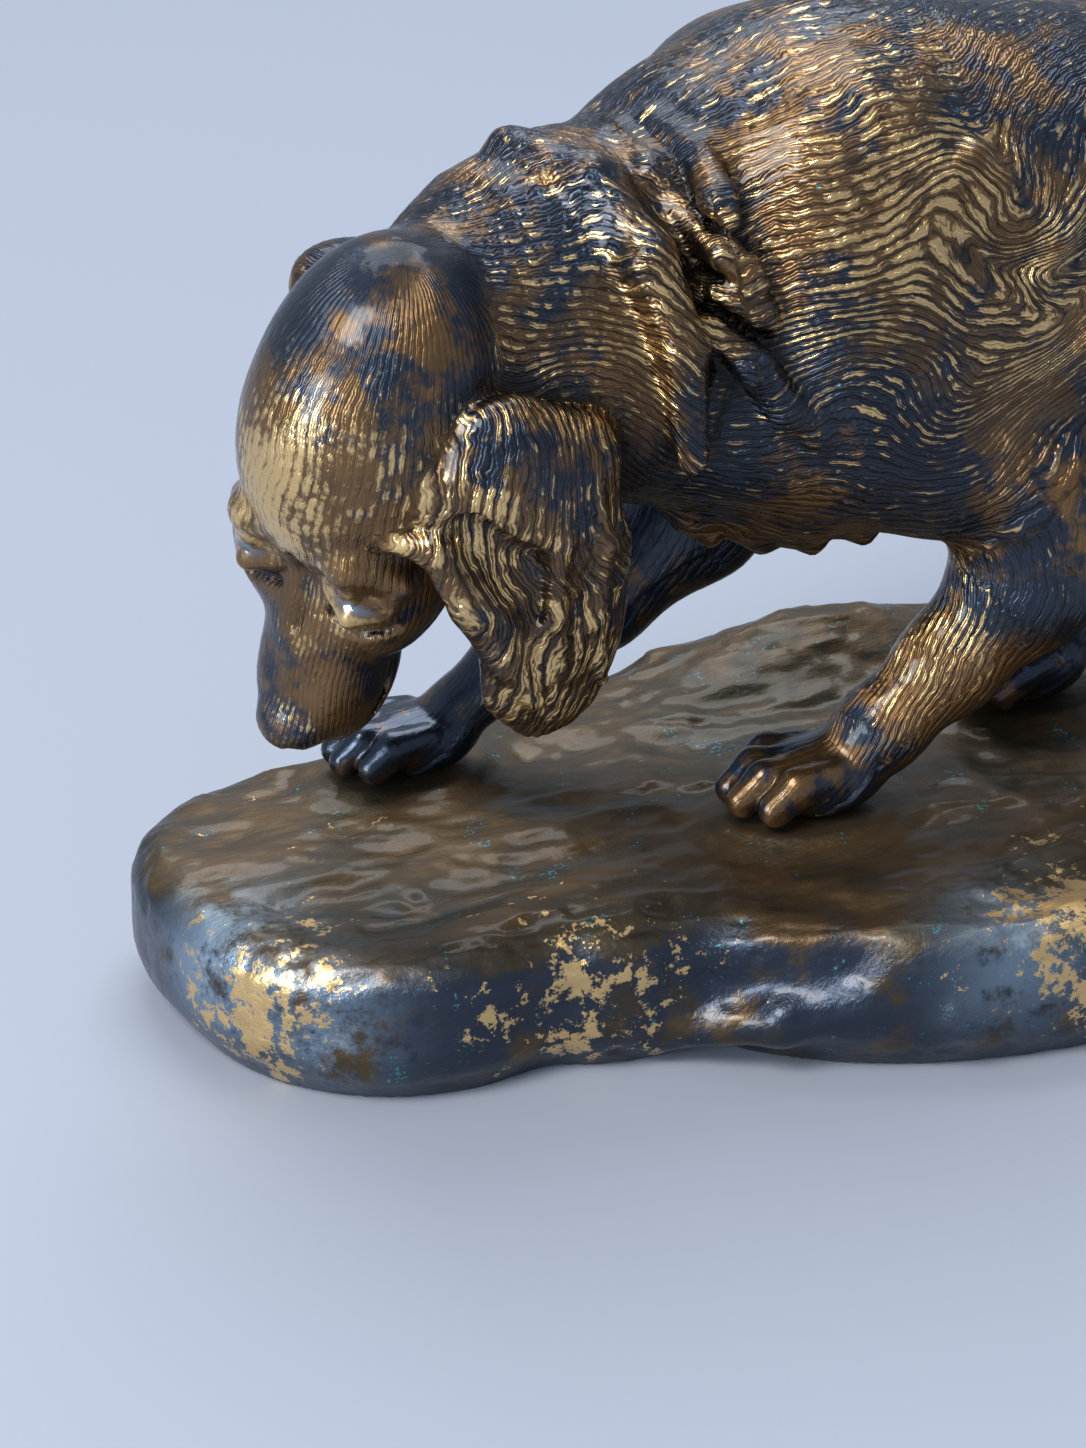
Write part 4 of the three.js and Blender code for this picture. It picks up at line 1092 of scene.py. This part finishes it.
@dataclass
class Casting:
    """One casting: its field, how finely it is faceted, and its node.

    Attributes:
        node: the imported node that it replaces.
        low: lowest corner of its field's box.
        high: highest corner.
        detail: how finely it is made.
        scale: metres in one unit of the field.
        lift: metres that the field's zero stands above the underside.
    """

    node: Node
    low: tuple
    high: tuple
    detail: Detail
    scale: float
    lift: float

    def surface(self) -> tuple[Array, Array, Array]:
        """Points, quads and normals on the field, split once more than it was sampled."""
        step = self.detail.step
        grid, low = sample(self.shape, self.low, self.high, step)
        verts, quads = outer_skin(*surface_nets(grid, low, step))
        verts, quads = subdivide(verts, quads)
        verts, normals = settle(self.shape, verts, step * 0.12)
        return verts, quads, normals

    def build(self, material: bpy.types.Material) -> bpy.types.Object:
        verts, quads, normals = self.surface()
        verts = self.carve(verts, normals)
        thin = self.reduce(verts, quads)
        thin.name = self.node.value[0] + "_cast"
        places = np.empty(len(thin.vertices) * 3, np.float32)
        thin.vertices.foreach_get("co", places)
        points = places.reshape(-1, 3).astype(float)
        for name, values in self.paint(points).items():
            kind, slot = ("FLOAT", "value") if values.ndim == 1 else ("FLOAT_VECTOR", "vector")
            made = thin.attributes.new(name, kind, "POINT")
            made.data.foreach_set(slot, values.astype(np.float32).ravel())
        low, high = (np.asarray(corner, float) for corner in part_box(self.node.value[0]))
        world = np.clip(points * self.scale + (0, 0, self.lift), low, high)
        thin.vertices.foreach_set("co", world.astype(np.float32).ravel())
        thin.update()
        thin.materials.append(material)
        thin.shade_smooth()
        piece = bpy.data.objects.new(thin.name, thin)
        bpy.context.scene.collection.objects.link(piece)
        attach(piece, "root")
        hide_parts(self.node.value[0])
        LOG.info("%s: %d triangles", thin.name, sum(len(f.vertices) - 2 for f in thin.polygons))
        return piece

    def reduce(self, verts: Array, quads: Array) -> bpy.types.Mesh:
        """The mesh of these quads with no more triangles than it may have."""
        mesh = bpy.data.meshes.new("full")
        mesh.vertices.add(len(verts))
        mesh.vertices.foreach_set("co", verts.astype(np.float32).ravel())
        mesh.loops.add(quads.size)
        mesh.loops.foreach_set("vertex_index", quads.astype(np.int32).ravel())
        mesh.polygons.add(len(quads))
        mesh.polygons.foreach_set("loop_start", np.arange(0, quads.size, 4, dtype=np.int32))
        mesh.update(calc_edges=True)
        holder = bpy.data.objects.new("holder", mesh)
        bpy.context.scene.collection.objects.link(holder)
        if len(quads) * 2 > self.detail.facets:
            modifier = holder.modifiers.new("thin", "DECIMATE")
            modifier.ratio = self.detail.facets / (len(quads) * 2)
        done = bpy.data.meshes.new_from_object(holder.evaluated_get(bpy.context.evaluated_depsgraph_get()))
        bpy.data.objects.remove(holder)
        bpy.data.meshes.remove(mesh)
        return done

    def shape(self, p: Array) -> Array:
        """The distance field."""
        raise NotImplementedError

    def carve(self, verts: Array, normals: Array) -> Array:
        """The points after the fine relief."""
        raise NotImplementedError

    def paint(self, points: Array) -> dict[str, Array]:
        """What the material reads, by attribute."""
        raise NotImplementedError


@dataclass
class DogCasting(Casting):
    """The dog, in shares of its height."""

    WEAR = (((-90, -14, 50), 15, 1.0), ((-72, -12, 68), 9, 0.5), ((-78, -16, 56), 12, 0.6),
            ((-86, -12, 32), 10, 0.8), ((-84, -10, 20), 9, 0.65),
            ((-58, -24, 28), 10, 0.8), ((-72, -24, 47), 7, 0.9), ((-66, -24, 42), 9, 0.6),
            ((-56, -18, 66), 12, 0.45), ((-44, -20, 66), 12, 0.6), ((-18, -24, 72), 17, 0.75),
            ((-4, -24, 60), 16, 0.65), ((-10, -20, 18), 12, 0.5), ((-24, -16, 6), 9, 0.35),
            ((40, -20, 66), 20, 0.6))

    OPEN_REACH = 2.6
    THIN_REACH = 2.0
    FULL_DEPTH = 0.34

    def __post_init__(self) -> None:
        """Makes the dog's field."""
        self.dog = Dog()

    def shape(self, p: Array) -> Array:
        """The dog's distance field."""
        return self.dog(p)

    def carve(self, verts: Array, normals: Array) -> Array:
        """Cuts the hair's grooves, and leaves the soles as they are."""
        height, depth, _, _ = self.dog.hair(verts)
        sole = np.clip((verts[:, 2] - 0.4) / 1.2, 0, 1)
        return verts - normals * ((1 - height) * depth * sole)[:, None]

    def paint(self, points: Array) -> dict[str, Array]:
        """The hair's crest and lie, the worn places, how open each place is to light for the painted shade
        and dark patina, and the eyeballs for the painted glint.
        """
        height, depth, along, row = self.dog.hair(points)
        normals = gradient(self.dog.form, points, 0.15)
        normals /= np.linalg.norm(normals, axis=1)[:, None] + 1e-9
        # How open each place is to light, probed a little outside the surface: closed-in places get painted
        # shade and dark patina.
        out, under = self.OPEN_REACH, self.THIN_REACH
        open_to_light = np.clip(self.dog.form(points + normals * out) / out, 0, 1)
        thin = np.clip(1 + self.dog.form(points - normals * under) / under, 0, 1)
        wear = np.clip(zones(points, self.WEAR) + 0.5 * thin, 0, 1)
        flat = 1 - np.clip(depth / 0.2, 0, 1)
        crest = height * (1 - flat) + flat * 0.8
        lie = np.stack([along, row, np.clip(depth / self.FULL_DEPTH, 0, 1)], 1)
        side = mirrored(self.dog.head.local(points), 0)
        # Marks the front of the eyeballs, where the material paints the glint.
        eye = np.clip(1 - self.dog.head.ball(side) / 0.35, 0, 1) * (side[:, 1] > -1.5)
        return {"crest": crest, "wear": wear, "open": open_to_light, "lie": lie, "eye": eye}


@dataclass
class GroundCasting(Casting):
    """The ground, in millimetres."""

    WEAR = (((-158, -26, 20), 26, 0.95), ((-100, -56, 16), 34, 0.8), ((-36, -78, 18), 22, 0.4),
            ((-4, -78, 28), 30, 0.95), ((34, -74, 22), 34, 0.8), ((-138, 20, 34), 34, 0.3),
            ((150, -20, 18), 30, 0.6))

    # Zones of painted sheen, where the pale blue reflection of the light is painted.
    SHEEN_ZONES = (((-166, -16, 24), 15, 0.8), ((-150, -34, 18), 13, 0.6), ((-22, -76, 24), 14, 0.6),
            ((16, -80, 26), 12, 0.5))

    def __post_init__(self) -> None:
        """Makes the ground's field."""
        self.ground = Ground()

    def shape(self, p: Array) -> Array:
        """The ground's distance field."""
        return self.ground(p)

    def carve(self, verts: Array, normals: Array) -> Array:
        """Adds the small unevenness, which dies out at the foot."""
        relief = self.ground.relief(verts)
        foot = np.clip(verts[:, 2] / 4, 0, 1)
        return verts + normals * (relief * foot)[:, None]

    def paint(self, points: Array) -> dict[str, Array]:
        """The low places for dark patina and painted shade, the worn places, the wall, and where the painted
        sheen goes.
        """
        relief = self.ground.relief(points)
        wear = zones(points, self.WEAR)
        pale = zones(points, self.SHEEN_ZONES)
        wall = np.clip((GROUND_TOP - 1.5 - points[:, 2]) / 5, 0, 1)
        # low is 0 in the deepest relief, where the material paints dark patina and shade.
        return {"low": np.clip(1.25 + relief / 3.2, 0, 1), "wear": wear, "wall": wall, "pale": pale}


# Studio
@dataclass(frozen=True)
class Lamp:
    """A square soft light.

    Attributes:
        name: its name.
        place: where it stands, in metres.
        size: its side, in metres.
        power: its strength, in watts.
        colour: its colour.
    """

    name: str
    place: tuple
    size: float
    power: float
    colour: tuple


class Studio:
    """The pale floor, the soft light and the camera at the photograph's angle."""

    LAMPS = (
        Lamp("key", (-1.3, -0.7, 1.7), 0.8, 42, (1.0, 0.97, 0.93)),
        Lamp("top", (0.4, 1.0, 2.0), 1.6, 40, (0.92, 0.96, 1.0)),
        Lamp("side", (-1.5, -0.5, 0.42), 0.5, 14, (0.8, 0.9, 1.0)),
    )
    AIM = Vector((-0.05, 0, 0.08))
    FLOOR_SIDE = 8.0
    FLOOR_COLOUR = rgb(0.31, 0.34, 0.405)
    SKY_COLOUR = rgb(0.66, 0.75, 0.92)
    SKY_STRENGTH = 0.55

    AZIMUTH, ELEVATION = -25.0, 27.0
    LENS, SENSOR = 100.0, 36.0
    TARGET = Vector((-0.078, 0.021, 0.0409))
    DISTANCE = 0.838

    def floor(self) -> bpy.types.Object:
        """A wide plain floor."""
        bpy.ops.mesh.primitive_plane_add(size=self.FLOOR_SIDE, location=(0, 0, 0))
        plane = bpy.context.object
        plane.name = "floor"
        t = Tree("floor")
        plane.data.materials.append(t.finish({"Base Color": self.FLOOR_COLOUR, "Roughness": 0.8}))
        return plane

    def light(self, lamp: Lamp) -> bpy.types.Object:
        """Sets up a lamp that faces the dog."""
        data = bpy.data.lights.new(lamp.name, "AREA")
        data.shape = "SQUARE"
        data.size = lamp.size
        data.energy = lamp.power
        data.color = lamp.colour
        obj = bpy.data.objects.new(lamp.name, data)
        obj.location = lamp.place
        toward = self.AIM - obj.location
        obj.rotation_euler = toward.to_track_quat("-Z", "Y").to_euler()
        bpy.context.scene.collection.objects.link(obj)
        return obj

    def camera(self) -> bpy.types.Object:
        """The camera where the photograph was taken from."""
        data = bpy.data.cameras.new("camera")
        data.lens = self.LENS
        data.sensor_fit = "VERTICAL"
        data.sensor_height = self.SENSOR
        data.clip_end = 50
        obj = bpy.data.objects.new("camera", data)
        a, e = math.radians(self.AZIMUTH), math.radians(self.ELEVATION)
        back = Vector((math.sin(a) * math.cos(e), -math.cos(a) * math.cos(e), math.sin(e)))
        obj.location = self.TARGET + back * self.DISTANCE
        obj.rotation_euler = (-back).to_track_quat("-Z", "Y").to_euler()
        bpy.context.scene.collection.objects.link(obj)
        bpy.context.scene.camera = obj
        return obj

    def world(self) -> None:
        """An even pale sky."""
        world = bpy.data.worlds.new("sky")
        world.use_nodes = True
        back = world.node_tree.nodes["Background"]
        back.inputs["Color"].default_value = self.SKY_COLOUR
        back.inputs["Strength"].default_value = self.SKY_STRENGTH
        bpy.context.scene.world = world

    def build(self) -> None:
        """Sets up the whole studio."""
        self.floor()
        self.world()
        for lamp in self.LAMPS:
            self.light(lamp)
        self.camera()
        bpy.context.scene.view_settings.view_transform = "Standard"


def main() -> None:
    """Builds both castings and the studio."""
    logging.basicConfig(level=logging.INFO)
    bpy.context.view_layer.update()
    patina = Patina()
    quick = bool(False)
    low, high = (-106, -38, -4), (100, 36, 100)
    dog = DogCasting(Node.DOG, low, high, DOG_DETAIL[quick], UNIT * MM, SEAT_HEIGHT * MM)
    dog.build(dog_bronze(patina))
    low, high = (-END - 9, -103, -8), (END + 9, 78, 54)
    ground = GroundCasting(Node.GROUND, low, high, GROUND_DETAIL[quick], MM, 0.0)
    ground.build(ground_bronze(patina))
    Studio().build()
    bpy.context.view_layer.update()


if __name__ == "__main__":
    main()
